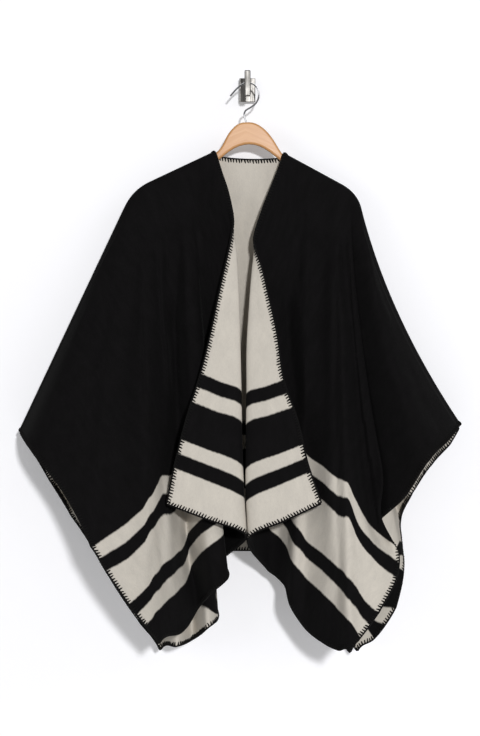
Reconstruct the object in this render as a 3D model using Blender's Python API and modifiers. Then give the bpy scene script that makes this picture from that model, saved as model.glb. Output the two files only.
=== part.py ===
"""Open-front blanket poncho (a ruana) hung on a wooden hanger from a wall hook.

One square of double-faced cloth, slit up the middle of the front and cut out at the
neck, folded over the hanger's arms. Its three stretches (back, front left, front right)
are thin walls, each a loft through ribs: every rib is one straight line of the cut, from
the shoulder fold down to the hem or out to the side edge, and its row says where that
line hangs. Lengths in the tables are centimetres. "x" is to the right and "down" is
below the wall hook, both as drawn on an elevation seen by an eye 3 m in front; "out" is
how far the cloth stands forward of the hanging plane, towards that eye.

Frame: metres, +Z up, the front faces -Y, the wall is the plane y = 0, and the origin is
the centre of the wall plate's back.
"""
import math
from collections import namedtuple

import bpy
import bmesh
import numpy as np
from mathutils import Vector

for old in list(bpy.data.objects):
    bpy.data.objects.remove(old, do_unlink=True)

# ---------------------------------------------------------------- driving sizes
CM = 0.01
HALF_WIDTH = 75.0        # cm, centre of the cut to a side edge
DROP = 75.0              # cm, shoulder fold to either hem
NECK_HALF = 7.7          # cm, half the neck opening along the fold
NECK_DEPTH = 10.0        # cm, how far the neck is cut down the front
WALL = 0.0026            # cloth thickness
SEAM = 0.08              # cm, between two stretches at the shoulder fold
BEND = 1.0               # cm, radius of the cloth's middle over the hanger
SLIDE = 1.6              # cm, the neck corners lie this far behind the hanger's top

HANG_Y = -0.045          # the hanging plane: hanger, hook and shoulder fold
EYE_X, EYE_DOWN = -1.4, 54.2     # cm, the elevation's eye
EYE_DISTANCE = 300.0             # cm, from that eye to the hanging plane

# shoulder fold, one arm each side: peak of the roof, hanger end, sleeve tip (x, down)
PEAK = (0.5, 9.4)
ARM_END = {"left": (-22.0, 20.0), "right": (21.1, 20.6)}
TIP = {"left": (-43.8, 66.2), "right": (40.9, 65.0)}
ARM_FLAT = {"left": 24.4, "right": 23.4}     # cm of cloth from the centre to the arm end
FOLD_BOW = {"left": 0.0, "right": -2.5}      # the fold's sag in x beyond the arm
CORNER = 3.5                                 # cm, half length of the curve at the arm end

# wood
WOOD_THICK = 0.011
WOOD_ROUND = 0.004
WOOD_UNDER = 0.32        # cm, wood's top below the middle of the cloth on it
# wire, plate, arm and bar
WIRE_R = 0.0016
PLATE = (0.031, 0.004, 0.046)
ARM_R = 0.004
BAR = (0.0115, 0.008, 0.050)
BAR_Y = -0.0565
GAP = 0.0003

# ---------------------------------------------------------------- the cloth's tables
# The slit edge and the line where each lapel rolls back, for some distances down the cut.
Turn = namedtuple("Turn", "v edge_x edge_down edge_out roll_x roll_down roll_out")
TURN_LEFT = [Turn(*r) for r in (
    (0.0, -6.1, 12.3, 0.0, -6.9, 12.6, 0.0),
    (5.0, -5.1, 16.3, 1.0, -5.9, 16.6, 1.3),
    (10.0, -3.8, 20.4, 1.9, -4.6, 20.7, 2.0),
    (14.6, -2.8, 25.4, 3.2, -3.3, 25.6, 2.6),
    (17.6, -3.0, 28.3, 4.1, -2.7, 28.5, 3.1),
    (21.2, -3.6, 31.7, 4.4, -2.2, 31.9, 3.4),
    (30.8, -5.3, 39.4, 5.3, -1.7, 40.8, 4.5),
    (40.4, -7.0, 47.5, 6.6, -1.4, 49.8, 5.9),
    (50.0, -9.0, 55.5, 8.4, -1.2, 58.8, 7.6),
    (57.7, -11.5, 63.4, 9.9, -1.1, 67.3, 8.9),
    (66.3, -13.7, 71.9, 11.4, -0.8, 76.9, 10.4),
    (75.0, -15.4, 80.3, 12.6, -0.3, 86.0, 11.9))]
TURN_RIGHT = [Turn(*r) for r in (
    (0.0, 7.0, 12.3, 0.0, 7.8, 12.7, 0.0),
    (5.0, 6.1, 15.6, 1.0, 6.9, 15.9, 1.3),
    (10.0, 4.5, 19.8, 1.8, 5.3, 20.1, 1.9),
    (14.6, 2.8, 24.2, 2.5, 3.5, 24.5, 2.3),
    (19.2, 1.3, 29.2, 3.5, 1.8, 29.4, 2.9),
    (22.0, 1.7, 31.9, 4.2, 1.3, 32.4, 3.2),
    (25.0, 2.6, 34.6, 4.6, 0.9, 35.6, 3.6),
    (30.8, 3.8, 39.6, 5.2, 0.4, 41.3, 4.2),
    (40.4, 5.6, 47.9, 6.4, -0.2, 50.2, 5.6),
    (50.0, 6.9, 56.6, 8.2, -0.2, 59.1, 7.3),
    (57.7, 9.5, 64.2, 9.7, -0.3, 67.7, 8.7),
    (66.3, 11.5, 72.6, 11.2, -0.3, 77.5, 10.2),
    (75.0, 14.1, 80.2, 12.3, 0.2, 86.7, 11.7))]
LAPEL_FOOT = 16.2        # cm of cloth turned back at the hem
LAPEL_BREAK = 14.6       # cm down the cut where the lapel starts to turn
LAPEL_MIN = 0.9          # cm, the least strip kept beside the roll line
LAPEL_CROWN = 0.7        # cm, how far the lapel bulges forward at the hem

# top: distance along the shoulder fold where the rib starts. foot_u, foot_v: where it
# ends on the cut. x, down, out: where that foot hangs. curl: how late it comes forward
# (1 is evenly). bow: its sideways sag at half length. parts: strips up to the next rib.
Rib = namedtuple("Rib", "name top foot_u foot_v x down out curl bow parts")
FRONT_LEFT = [Rib(*r) for r in (
    ("pleat_in",     11.2, 28.0, 75.0,  -3.9,  90.0,  1.0, 2.2,  0.0, 1),
    ("pleat_back",   12.0, 30.0, 75.0,  -5.3,  90.8,  0.5, 2.2,  0.0, 2),
    ("crest_1",      13.3, 41.2, 75.0,  -3.9,  94.6, 11.5, 1.6, -0.4, 1),
    ("crest_1b",     14.8, 45.4, 75.0,  -6.6,  97.0, 12.7, 1.5, -0.6, 2),
    ("valley_1",     16.9, 53.3, 75.0,  -9.5, 100.2,  5.4, 1.5, -1.7, 2),
    ("crest_2",      20.2, 60.8, 75.0, -12.2, 104.4, 10.8, 1.2, -0.6, 2),
    ("corner",       24.4, 75.0, 75.0, -17.0, 107.1, 19.8, 1.0,  0.0, 1),
    ("side_68",      25.2, 75.0, 68.3, -19.3, 104.1, 21.5, 1.0,  0.0, 1),
    ("side_63",      26.0, 75.0, 62.9, -22.6,  99.9, 22.9, 1.0,  0.0, 1),
    ("side_55",      26.9, 75.0, 55.4, -27.2,  93.1, 23.8, 1.0,  0.0, 1),
    ("side_50",      28.1, 75.0, 50.0, -30.0,  88.5, 23.8, 1.0,  0.0, 2),
    ("side_35",      29.8, 75.0, 34.6, -35.1,  78.3, 19.6, 1.0,  0.4, 2),
    ("side_18",      32.1, 75.0, 18.3, -41.6,  69.8, 13.8, 1.0,  0.6, 5))]
FRONT_RIGHT = [Rib(*r) for r in (
    ("pleat_in",     10.6, 30.0, 75.0,   4.0,  93.0,  1.0, 2.2,  0.0, 1),
    ("pleat_back",   11.2, 32.0, 75.0,   5.4,  94.0,  1.2, 2.2,  0.0, 1),
    ("step",         11.8, 37.0, 75.0,   7.3,  96.0,  4.2, 2.0,  0.0, 2),
    ("crest_1",      12.8, 45.2, 75.0,   8.5, 100.2,  9.6, 1.6,  0.4, 2),
    ("valley_1",     14.2, 51.5, 75.0,  11.2, 104.2, 10.8, 1.5, -0.6, 1),
    ("crest_2",      16.0, 58.1, 75.0,  14.3, 106.7, 14.6, 1.4,  0.4, 1),
    ("flank",        17.6, 65.0, 75.0,  17.2, 108.2, 17.3, 1.2,  0.0, 2),
    ("corner",       19.0, 75.0, 75.0,  19.7, 108.8, 21.5, 1.2,  0.0, 1),
    ("side_68",      19.6, 75.0, 68.3,  21.8, 105.7, 19.4, 1.2,  0.0, 1),
    ("side_63",        20.1, 75.0, 62.9, 25.1, 101.2, 17.5,  1.2, -0.5,    1),
    ("side_55",        20.6, 75.0, 55.4, 28.6,  94.5, 16.3,  1.2, -1.0,    1),
    ("side_50",        21.1, 75.0, 50.4, 29.3,  89.4, 14.4,  1.2, -1.4,    1),
    ("deep_valley",    21.8, 75.0, 41.3, 25.7,  84.0,  8.0,  1.2, -1.7,    1),
    ("side_32",        24.0, 75.0, 31.7, 30.3,  78.7, 12.0,  1.0, -1.8,    1),
    ("side_22",        26.6, 75.0, 22.1, 34.9,  71.7, 15.4,  1.0, -2.0,    1),
    ("side_11",        30.0, 75.0, 11.5, 38.4,  68.1,  8.9,  1.0, -2.2,    5))]
BACK_LEFT = [Rib(*r) for r in (       # from the neck out to the shoulder fold
    ("neck",          7.7,  8.7, 75.0,  -4.7,  89.3, -2.2, 1.6,  0.0, 1),
    ("under",         8.4, 13.8, 75.0,  -8.8,  90.2, -2.5, 1.6,  0.0, 1),
    ("tuck_end",      9.2, 18.3, 75.0, -11.8,  91.7, -1.2, 1.6,  0.0, 1),
    ("tuck_mid",     10.1, 24.0, 75.0,  -9.9,  95.6,  0.8, 2.0,  0.0, 1),
    ("tuck",         11.5, 30.8, 75.0,  -6.6,  99.8,  2.7, 2.2,  0.0, 1),
    ("crest_1b",     13.1, 35.6, 75.0,  -5.7, 102.1,  5.0, 2.4,  0.0, 1),
    ("crest_1",      14.8, 41.3, 75.0,  -7.6, 104.0,  8.5, 2.4,  0.0, 2),
    ("valley_1",     16.9, 50.4, 75.0, -10.5, 106.2,  1.5, 2.0,  0.0, 2),
    ("crest_2",      20.2, 60.8, 75.0, -13.4, 107.5,  7.7, 2.0,  0.0, 2),
    ("corner",       24.4, 75.0, 75.0, -16.8, 108.3,  2.3, 1.0,  0.0, 1),
    ("side_66",      25.2, 75.0, 66.3, -20.7, 102.9,  5.8, 1.0,  0.0, 1),
    ("side_58",      26.0, 75.0, 57.7, -25.1,  96.5,  0.4, 1.0,  0.0, 1),
    ("side_49",      26.9, 75.0, 49.0, -29.3,  89.4,  7.3, 1.0,  0.0, 2),
    ("side_37",      28.1, 75.0, 37.5, -33.8,  82.5, -2.5, 1.0,  0.0, 2),
    ("side_24",      29.8, 75.0, 24.0, -38.0,  75.6,  6.9, 1.0,  0.4, 1),
    ("side_11",      32.1, 75.0, 11.5, -41.2,  70.4, -2.6, 1.0,  0.8, 5))]
BACK_RIGHT = [Rib(*r) for r in (      # from the neck out to the shoulder fold
    ("neck",          7.7,  8.7, 75.0,   4.5,  89.3, -2.2, 1.6,  0.0, 1),
    ("under",         8.3, 13.8, 75.0,   8.6,  90.2, -2.5, 1.6,  0.0, 1),
    ("tuck_end",      9.0, 18.3, 75.0,  11.6,  91.7, -1.2, 1.6,  0.0, 1),
    ("tuck_mid",     10.1, 24.0, 75.0,  10.3,  94.4,  0.8, 2.0,  0.0, 1),
    ("tuck",         11.0, 28.5, 75.0,   8.5,  95.2,  2.4, 2.2,  0.0, 1),
    ("crest_1b",     11.9, 32.3, 75.0,   8.8,  96.8,  4.6, 2.4,  0.0, 1),
    ("crest_1",        12.7, 36.9, 75.0, 10.1,  98.7,  4.6,  2.4,  0.0,    1),
    ("valley_1",       14.2, 44.2, 75.0, 12.0, 101.5,  1.6,  2.0,  0.0,    2),
    ("crest_2",      16.9, 52.9, 75.0,  14.9, 104.4,  6.5, 2.0,  0.0, 2),
    ("valley_2",     18.0, 62.5, 75.0,  18.0, 106.7, -0.8, 1.6,  0.0, 2),
    ("corner",         19.0, 75.0, 75.0, 21.1, 108.5,  4.2,  1.2,  0.0,    1),
    ("side_68",        19.6, 75.0, 68.3, 24.6, 105.8,  5.6,  1.2,  0.0,    1),
    ("side_63",        20.1, 75.0, 62.9, 28.4, 100.2,  6.8,  1.2, -0.5,    1),
    ("side_55",        20.6, 75.0, 55.4, 29.9,  93.1,  4.6,  1.2, -1.0,    1),
    ("side_50",        21.1, 75.0, 50.4, 29.6,  88.1,  1.2,  1.2, -1.4,    1),
    ("side_44",        21.8, 75.0, 44.2, 29.3,  83.8, -1.4,  1.2, -1.6,    2),
    ("side_32",        24.0, 75.0, 31.7, 31.6,  78.1,  3.2,  1.0, -1.8,    1),
    ("side_22",        26.6, 75.0, 22.1, 35.3,  72.7, -2.0,  1.0, -2.0,    2),
    ("side_11",        30.0, 75.0, 11.5, 38.8,  68.8,  1.2,  1.0, -2.2,    5))]
FOLD_TOP = 35.0          # cm along the fold where the last strip starts
NECK_SAG = 0.45          # cm, the back neck edge at its middle, below its ends
HEM_MIDDLE = (-0.3, 89.0, -2.3)    # x, down, out of the back hem's middle

# how far down each rib the loft's rows lie: close over the bend, then wider
ROWS = [0.0, 0.004, 0.009, 0.015, 0.024, 0.045, 0.08, 0.13, 0.18, 0.215, 0.25, 0.29,
        0.34, 0.42, 0.51, 0.61, 0.71, 0.81, 0.91, 1.0]


# ---------------------------------------------------------------- shoulder fold
def fold_line(side, u):
    """(x, down) of the shoulder fold at u cm along the cut from its centre."""
    end, flat = ARM_END[side], ARM_FLAT[side]

    def straight(w):
        if w <= flat:
            k = w / flat
            return (PEAK[0] + (end[0] - PEAK[0]) * k, PEAK[1] + (end[1] - PEAK[1]) * k)
        k = (w - flat) / (HALF_WIDTH - flat)
        tip = TIP[side]
        sag = FOLD_BOW[side] * 4 * k * (1 - k)
        return (end[0] + (tip[0] - end[0]) * k + sag, end[1] + (tip[1] - end[1]) * k)

    if abs(u - flat) >= CORNER:
        return straight(u)
    a, b = straight(flat - CORNER), straight(flat + CORNER)
    k = (u - flat + CORNER) / (2 * CORNER)
    return tuple((1 - k) ** 2 * a[i] + 2 * k * (1 - k) * end[i] + k ** 2 * b[i]
                 for i in (0, 1))


def fold_normal(side, u):
    """Unit (x, down) direction in the sheet, square to the fold and away from it."""
    a, b = fold_line(side, max(u - 0.5, 0.0)), fold_line(side, u + 0.5)
    dx, dd = b[0] - a[0], b[1] - a[1]
    n = math.hypot(dx, dd)
    return (-dd / n, dx / n) if dx > 0 else (dd / n, -dx / n)


def over_the_bend(side, u, v, x, down, out, sign):
    """Wrap the cloth near the fold round the hanger. sign: 1 front, -1 back."""
    k = max(0.0, min(1.0, (12.5 - u) / 4.0))
    near_neck = k * k * (3 - 2 * k) * max(0.0, 1 - v / 5.0)
    cut = SEAM / 2 * (1 + 2 * near_neck * (1 - near_neck) * 4)
    past = v + cut - sign * SLIDE * near_neck           # cloth from the very top
    arc = min(abs(past) / BEND, math.pi / 2)
    turn = math.copysign(math.sin(arc), past) * sign
    if v < 14.0:
        drop = BEND * (1 - math.cos(arc)) + max(0.0, abs(past) - BEND * math.pi / 2)
        fx, fd = fold_line(side, u)
        nx, nd = fold_normal(side, u)
        away = (x - fx) * nx + (down - fd) * nd          # from the fold, as tabled
        along = (x - fx) * nd - (down - fd) * nx         # and beside its own place on it
        near = max(0.0, 1 - v / 3.0)
        fade = 1.0 if v < 1.5 else 1 - (v - 1.5) / 12.5
        want = drop * (near + (1 - near) * away / max(v, 0.1))
        want = away + (want - away) * fade
        along *= 1 - near
        x, down = fx + nx * want + nd * along, fd + nd * want - nx * along
    return (x, down, out + turn * BEND)


# ---------------------------------------------------------------- one loft row
def ease(xs, ys, x):
    """Smooth curve through the points (xs, ys), with the slopes of its neighbours."""
    k = min(max(int(np.searchsorted(xs, x)) - 1, 0), len(xs) - 2)

    def slope(i):
        lo, hi = max(i - 1, 0), min(i + 1, len(xs) - 1)
        return (ys[hi] - ys[lo]) / (xs[hi] - xs[lo])
    h = xs[k + 1] - xs[k]
    t = (x - xs[k]) / h
    return ((2 * t ** 3 - 3 * t ** 2 + 1) * ys[k] + (t ** 3 - 2 * t ** 2 + t) * h * slope(k)
            + (3 * t ** 2 - 2 * t ** 3) * ys[k + 1] + (t ** 3 - t ** 2) * h * slope(k + 1))


def rib_point(side, rib, t):
    """A rib at t of its length: (u, v) on the cut and (x, down, out) as it hangs."""
    top = fold_line(side, rib.top)
    u = rib.top + (rib.foot_u - rib.top) * t
    return (u, rib.foot_v * t,
            top[0] + (rib.x - top[0]) * t + rib.bow * 4 * t * (1 - t),
            top[1] + (rib.down - top[1]) * t,
            rib.out * t ** rib.curl)


def fold_point(side, t):
    """The shoulder fold itself, from the last rib's start out to the sleeve tip."""
    u = FOLD_TOP + (HALF_WIDTH - FOLD_TOP) * t
    return (u, 0.0) + tuple(fold_line(side, u)) + (0.0,)


def turn_points(table, t):
    """Slit edge, middle of the lapel, and roll line at t of the drop."""
    v = DROP * t
    vs = [r.v for r in table]
    edge = [ease(vs, [getattr(r, "edge_" + c) for r in table], v) for c in ("x", "down", "out")]
    roll = [ease(vs, [getattr(r, "roll_" + c) for r in table], v) for c in ("x", "down", "out")]
    edge_u = NECK_HALF * math.sqrt(1 - (v / NECK_DEPTH) ** 2) if v < NECK_DEPTH else 0.0
    lapel = LAPEL_FOOT * (v - LAPEL_BREAK) / (DROP - LAPEL_BREAK)
    roll_u = edge_u + max(LAPEL_MIN, lapel)
    width = max(0.0, lapel) / LAPEL_FOOT
    mid = [(a + b) / 2 for a, b in zip(edge, roll)]
    mid[2] += LAPEL_CROWN * width
    return [(edge_u, v, *edge), ((edge_u + roll_u) / 2, v, *mid), (roll_u, v, *roll)]


def through(points, parts, reach=1.0):
    """Rounded line through the row's rib points, cut into the given number of parts."""
    p = [np.array(q, float) for q in points]
    row = []
    for i, n in enumerate(parts):
        a, b = p[i], p[i + 1]
        before = p[i - 1] if i else 2 * a - b
        after = p[i + 2] if i + 2 < len(p) else 2 * b - a
        k0, k1, k2 = (max(np.linalg.norm((q - r)[2:]), 1e-6) ** 0.5
                      for q, r in ((a, before), (b, a), (after, b)))
        ma = ((a - before) / k0 - (b - before) / (k0 + k1) + (b - a) / k1) * k1
        mb = ((b - a) / k1 - (after - a) / (k1 + k2) + (after - b) / k2) * k1
        steps = [j / n for j in range(n)]
        if n == 5:      # next to the shoulder fold: close over the bend
            steps = [0.0, 0.45] + [1 - w / reach for w in (2.6, 1.1, 0.35)]
        for s in steps:
            q = ((2 * s ** 3 - 3 * s ** 2 + 1) * a + (s ** 3 - 2 * s ** 2 + s) * ma
                 + (3 * s ** 2 - 2 * s ** 3) * b + (s ** 3 - s ** 2) * mb)
            q[:2] = a[:2] + (b - a)[:2] * s
            row.append(q)
    row.append(p[-1])
    return row


def hung(side, q, sign):
    """From a table point to the frame, in metres."""
    u, v, x, down, out = q
    if not (sign < 0 and u < NECK_HALF):
        x, down, out = over_the_bend(side, u, v, x, down, out, sign)
    near = 1 - out / EYE_DISTANCE
    return ((EYE_X + (x - EYE_X) * near) * CM, HANG_Y - out * CM,
            -(EYE_DOWN + (down - EYE_DOWN) * near) * CM)


def front_grid(side, turns, ribs):
    grid = []
    for t in ROWS:
        line = turn_points(turns, t) + [rib_point(side, r, t) for r in ribs]
        line.append(fold_point(side, t))
        row = through(line, [1, 2, 3] + [r.parts for r in ribs], ribs[-1].foot_v)
        grid.append([hung(side, q, 1) for q in row])
    return grid


def neck_edge(u):
    """Back neck edge, behind the hanger, from one corner to the other; u is signed."""
    ends = []
    for side, s in (("left", -1), ("right", 1)):
        fx, fd = fold_line(side, NECK_HALF)
        nx, nd = fold_normal(side, NECK_HALF)
        ends.append((fx + nx * 0.94, fd + nd * 0.94))
    k = (u + NECK_HALF) / (2 * NECK_HALF)
    sag = 4 * k * (1 - k)
    return (ends[0][0] + (ends[1][0] - ends[0][0]) * k,
            ends[0][1] + (ends[1][1] - ends[0][1]) * k + NECK_SAG * sag,
            -BEND - 0.15 * sag)


def back_grid():
    grid = []
    middle = (-3.85, 0.0, 3.85)
    for t in ROWS:
        left = [rib_point("left", r, t) for r in BACK_LEFT] + [fold_point("left", t)]
        right = [rib_point("right", r, t) for r in BACK_RIGHT] + [fold_point("right", t)]
        # between the neck corners the cloth hangs straight down from the neck edge
        inner = []
        for u in middle:
            x, down, out = neck_edge(u)
            foot_x = HEM_MIDDLE[0] + u * 1.13
            inner.append((abs(u), DROP * t, x + (foot_x - x) * t,
                          down + (HEM_MIDDLE[1] + 0.15 - down) * t,
                          out + (HEM_MIDDLE[2] - out) * t))
        a = through(left, [r.parts for r in BACK_LEFT], BACK_LEFT[-1].foot_v)[::-1]
        b = through(right, [r.parts for r in BACK_RIGHT], BACK_RIGHT[-1].foot_v)
        row = [hung("left", q, -1) for q in a]
        row += [hung("left" if u < 0 else "right", q, -1) for u, q in zip(middle, inner)]
        row += [hung("right", q, -1) for q in b]
        grid.append(row)
    return grid


# ---------------------------------------------------------------- making objects
def collection(name):
    c = bpy.data.collections.new(name)
    bpy.context.scene.collection.children.link(c)
    return c


PARTS = collection("ruana_on_hanger")
CUTTERS = collection("cutters")


def material(name, colour, roughness, metallic=0.0):
    m = bpy.data.materials.new(name)
    m.use_nodes = True
    b = m.node_tree.nodes["Principled BSDF"]
    b.inputs["Base Color"].default_value = (*colour, 1)
    b.inputs["Roughness"].default_value = roughness
    b.inputs["Metallic"].default_value = metallic
    return m


def place(ob, mat, col=PARTS):
    for c in list(ob.users_collection):
        c.objects.unlink(ob)
    col.objects.link(ob)
    if mat:
        ob.data.materials.clear()
        ob.data.materials.append(mat)
    return ob


def cloth(name, grid, mat, slim_ends=(False, True), mirrored=False):
    """An open loft through the grid's rows, made a wall with Solidify."""
    rows, cols = len(grid), len(grid[0])
    verts = [p for row in grid for p in row]
    faces = []
    for i in range(rows - 1):
        for j in range(cols - 1):
            a, b = i * cols + j, i * cols + j + 1
            c, d = a + cols, b + cols
            if slim_ends[1] and j == cols - 2:
                made = [(a, c, b), (b, c, d)]
            elif slim_ends[0] and j == 0:
                made = [(a, d, b), (a, c, d)]
            else:
                made = [(a, c, d, b)]
            faces += [f[::-1] for f in made] if mirrored else made
    me = bpy.data.meshes.new(name)
    me.from_pydata(verts, [], faces)
    me.validate()
    me.update()
    me.shade_smooth()
    ob = bpy.data.objects.new(name, me)
    wall = ob.modifiers.new("wall", "SOLIDIFY")
    wall.thickness = WALL
    wall.offset = 0.0
    return place(ob, mat)


def curve(name, points, mat, radius=0.0, resolution=3, fill=False, extrude=0.0, cyclic=False,
          dimensions="3D", smooth=True):
    cu = bpy.data.curves.new(name, "CURVE")
    cu.dimensions = dimensions
    cu.bevel_depth = radius
    cu.bevel_resolution = resolution
    cu.use_fill_caps = not cyclic
    if fill:
        cu.fill_mode = "BOTH"
        cu.extrude = extrude
    sp = cu.splines.new("POLY")
    sp.points.add(len(points) - 1)
    for p, q in zip(sp.points, points):
        p.co = (*q, 1.0) if len(q) == 3 else (*q, 0.0, 1.0)
    sp.use_cyclic_u = cyclic
    sp.use_smooth = smooth
    ob = bpy.data.objects.new(name, cu)
    return place(ob, mat)


def rounded(points, n):
    """Points along a rounded line through the given ones, n to each stretch."""
    p = [np.array(q, float) for q in points]
    out = []
    for i in range(len(p) - 1):
        a, b = p[i], p[i + 1]
        ma = (b - p[i - 1]) / 2 if i else (b - a)
        mb = (p[i + 2] - a) / 2 if i + 2 < len(p) else (b - a)
        for j in range(n):
            s = j / n
            out.append((2 * s ** 3 - 3 * s ** 2 + 1) * a + (s ** 3 - 2 * s ** 2 + s) * ma
                       + (3 * s ** 2 - 2 * s ** 3) * b + (s ** 3 - s ** 2) * mb)
    out.append(p[-1])
    return out


BLACK = material("cloth_black", (0.012, 0.012, 0.013), 0.92)
CREAM = material("cloth_cream", (0.56, 0.53, 0.49), 0.92)
WOOD = material("wood_light", (0.62, 0.36, 0.16), 0.42)
CHROME = material("wire_chrome", (0.72, 0.72, 0.73), 0.12, 1.0)
NICKEL = material("nickel_brushed", (0.55, 0.54, 0.52), 0.34, 1.0)

# ---------------------------------------------------------------- cloth
cloth("cloth_front_left", front_grid("left", TURN_LEFT, FRONT_LEFT), BLACK, mirrored=True)
cloth("cloth_front_right", front_grid("right", TURN_RIGHT, FRONT_RIGHT), BLACK)
cloth("cloth_back", back_grid(), BLACK, slim_ends=(True, True), mirrored=True)

# ---------------------------------------------------------------- hanger
# The wood's upper edge between the arms (x, down), and its lower edge.
Edge = namedtuple("Edge", "x down")
HUMP = [Edge(*r) for r in ((-4.9, 11.5), (-3.7, 9.2), (-2.0, 7.4), (-0.3, 6.95), (1.6, 7.2),
                           (3.4, 8.4), (4.9, 10.2), (6.0, 12.0))]
ARCH = [Edge(*r) for r in ((6.5, 14.5), (3.2, 12.0), (0.3, 11.2), (-2.6, 12.0), (-5.7, 14.3))]
ARM_WIDTH = 2.1          # cm, of an arm near its end
ARM_FROM = {"left": 20.6, "right": 19.6}     # cm along the fold where its end rounds


def arm_top(side, u):
    x, d = fold_line(side, u)
    nx, nd = fold_normal(side, u)
    return x + nx * WOOD_UNDER, d + nd * WOOD_UNDER


def arm_end(side, u):
    """Half round from the arm's upper edge to its lower one, beyond u."""
    x, d = arm_top(side, u)
    nx, nd = fold_normal(side, u)
    tx, td = (nd, -nx) if side == "right" else (-nd, nx)
    r = ARM_WIDTH / 2
    turn = [math.pi * k / 6 for k in range(7)]
    return [(x + nx * r * (1 - math.cos(a)) + tx * r * math.sin(a),
             d + nd * r * (1 - math.cos(a)) + td * r * math.sin(a)) for a in turn]


def hanger_outline():
    """Round the flat hanger: in along the left arm, over the hump, out the right arm,
    round its end, back underneath and through the arch, round the left end."""
    inset = WOOD_ROUND / CM
    low = {}
    for side in ("left", "right"):
        low[side] = []
        for u in (16.5, 13.0, 10.8):
            x, d = arm_top(side, u)
            nx, nd = fold_normal(side, u)
            low[side].append((x + nx * ARM_WIDTH, d + nd * ARM_WIDTH))
    top = [arm_top("left", u) for u in (17.0, 13.0, 9.5, 7.4)]
    top += [(e.x, e.down) for e in HUMP]
    top += [arm_top("right", u) for u in (7.5, 9.8, 13.0, 17.0)]
    under = low["right"] + [(e.x, e.down) for e in ARCH] + low["left"][::-1]
    left_end = arm_end("left", ARM_FROM["left"])[::-1]
    right_end = arm_end("right", ARM_FROM["right"])
    line = rounded([left_end[-1]] + top + [right_end[0]], 3)[1:-1]
    line += [np.array(q) for q in right_end]
    line += rounded([right_end[-1]] + under + [left_end[0]], 3)[1:-1]
    line += [np.array(q) for q in left_end]
    pts = [np.array((q[0], -q[1])) for q in line]
    # move in by the rounding, because the bevel moves the outline out again
    n = len(pts)
    inner = []
    for i in range(n):
        t = pts[(i + 1) % n] - pts[i - 1]
        t = t / np.linalg.norm(t)
        inner.append((pts[i] + np.array((t[1], -t[0])) * inset) * CM)
    return inner


wood_curve = curve("hanger_outline", hanger_outline(), WOOD, radius=WOOD_ROUND, resolution=2,
                   fill=True, extrude=WOOD_THICK / 2 - WOOD_ROUND, cyclic=True,
                   dimensions="2D")
wood_curve.rotation_euler = (math.pi / 2, 0, 0)
wood_curve.location = (0, HANG_Y, 0)
bpy.context.view_layer.update()
graph = bpy.context.evaluated_depsgraph_get()
wood_mesh = bpy.data.meshes.new_from_object(wood_curve.evaluated_get(graph))
bm = bmesh.new()
bm.from_mesh(wood_mesh)
bmesh.ops.remove_doubles(bm, verts=bm.verts, dist=0.00002)
bmesh.ops.recalc_face_normals(bm, faces=bm.faces)
bm.to_mesh(wood_mesh)
bm.free()
wood = bpy.data.objects.new("hanger_wood", wood_mesh)
wood.matrix_world = wood_curve.matrix_world.copy()
place(wood, WOOD)
bpy.data.objects.remove(wood_curve, do_unlink=True)
wood_mesh.shade_smooth()
wood_mesh.set_sharp_from_angle(angle=math.radians(50))

# the hook's hole, down into the hump
HOLE_X, HOLE_DEPTH = -0.3, 0.022
bpy.ops.mesh.primitive_cylinder_add(vertices=24, radius=WIRE_R + GAP, depth=0.04,
                                    location=(HOLE_X * CM, HANG_Y, -0.0695 - HOLE_DEPTH + 0.02))
drill = bpy.context.active_object
drill.name = "hook_hole"
place(drill, None, CUTTERS)
drill.hide_render = True
drill.display_type = "WIRE"
cut = wood.modifiers.new("hook_hole", "BOOLEAN")
cut.operation = "DIFFERENCE"
cut.solver = "EXACT"
cut.object = drill

# hook: the wire's middle line (x, down), from inside the wood, round, to its tip
Wire = namedtuple("Wire", "x down")
HOOK = [Wire(*r) for r in ((-0.3, 9.0), (-0.3, 8.0), (-0.3, 6.8), (-0.65, 5.6), (-0.35, 4.7),
                           (0.6, 4.1), (1.6, 3.3), (2.15, 2.1), (2.05, 0.8), (1.35, -0.2),
                           (0.2, -0.62), (-0.9, -0.4), (-1.9, 0.35), (-2.7, 1.2), (-3.3, 1.9))]
curve("hanger_hook", [(q[0] * CM, HANG_Y, -q[1] * CM) for q in
                      rounded([(w.x, w.down) for w in HOOK], 4)],
      CHROME, radius=WIRE_R, resolution=2)

# ---------------------------------------------------------------- wall hook
def block(name, size, at, mat, edge):
    bpy.ops.mesh.primitive_cube_add(size=1, location=at)
    ob = bpy.context.active_object
    ob.name = name
    for v in ob.data.vertices:
        v.co = Vector((v.co.x * size[0], v.co.y * size[1], v.co.z * size[2]))
    bevel = ob.modifiers.new("edges", "BEVEL")
    bevel.width = edge
    bevel.segments = 2
    bevel.limit_method = "ANGLE"
    return place(ob, mat)


block("wall_plate", PLATE, (0, -PLATE[1] / 2, 0), NICKEL, 0.0008)
block("wall_bar", BAR, (0, BAR_Y, 0.0035), NICKEL, 0.0022)
arm_from, arm_to = -PLATE[1] - GAP, BAR_Y + BAR[1] / 2 + GAP
bpy.ops.mesh.primitive_cylinder_add(vertices=32, radius=ARM_R, depth=arm_from - arm_to,
                                    location=(0, (arm_from + arm_to) / 2, 0),
                                    rotation=(math.pi / 2, 0, 0))
arm = bpy.context.active_object
arm.name = "wall_arm"
place(arm, NICKEL)
arm.data.shade_smooth()
arm.data.set_sharp_from_angle(angle=math.radians(40))
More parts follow.
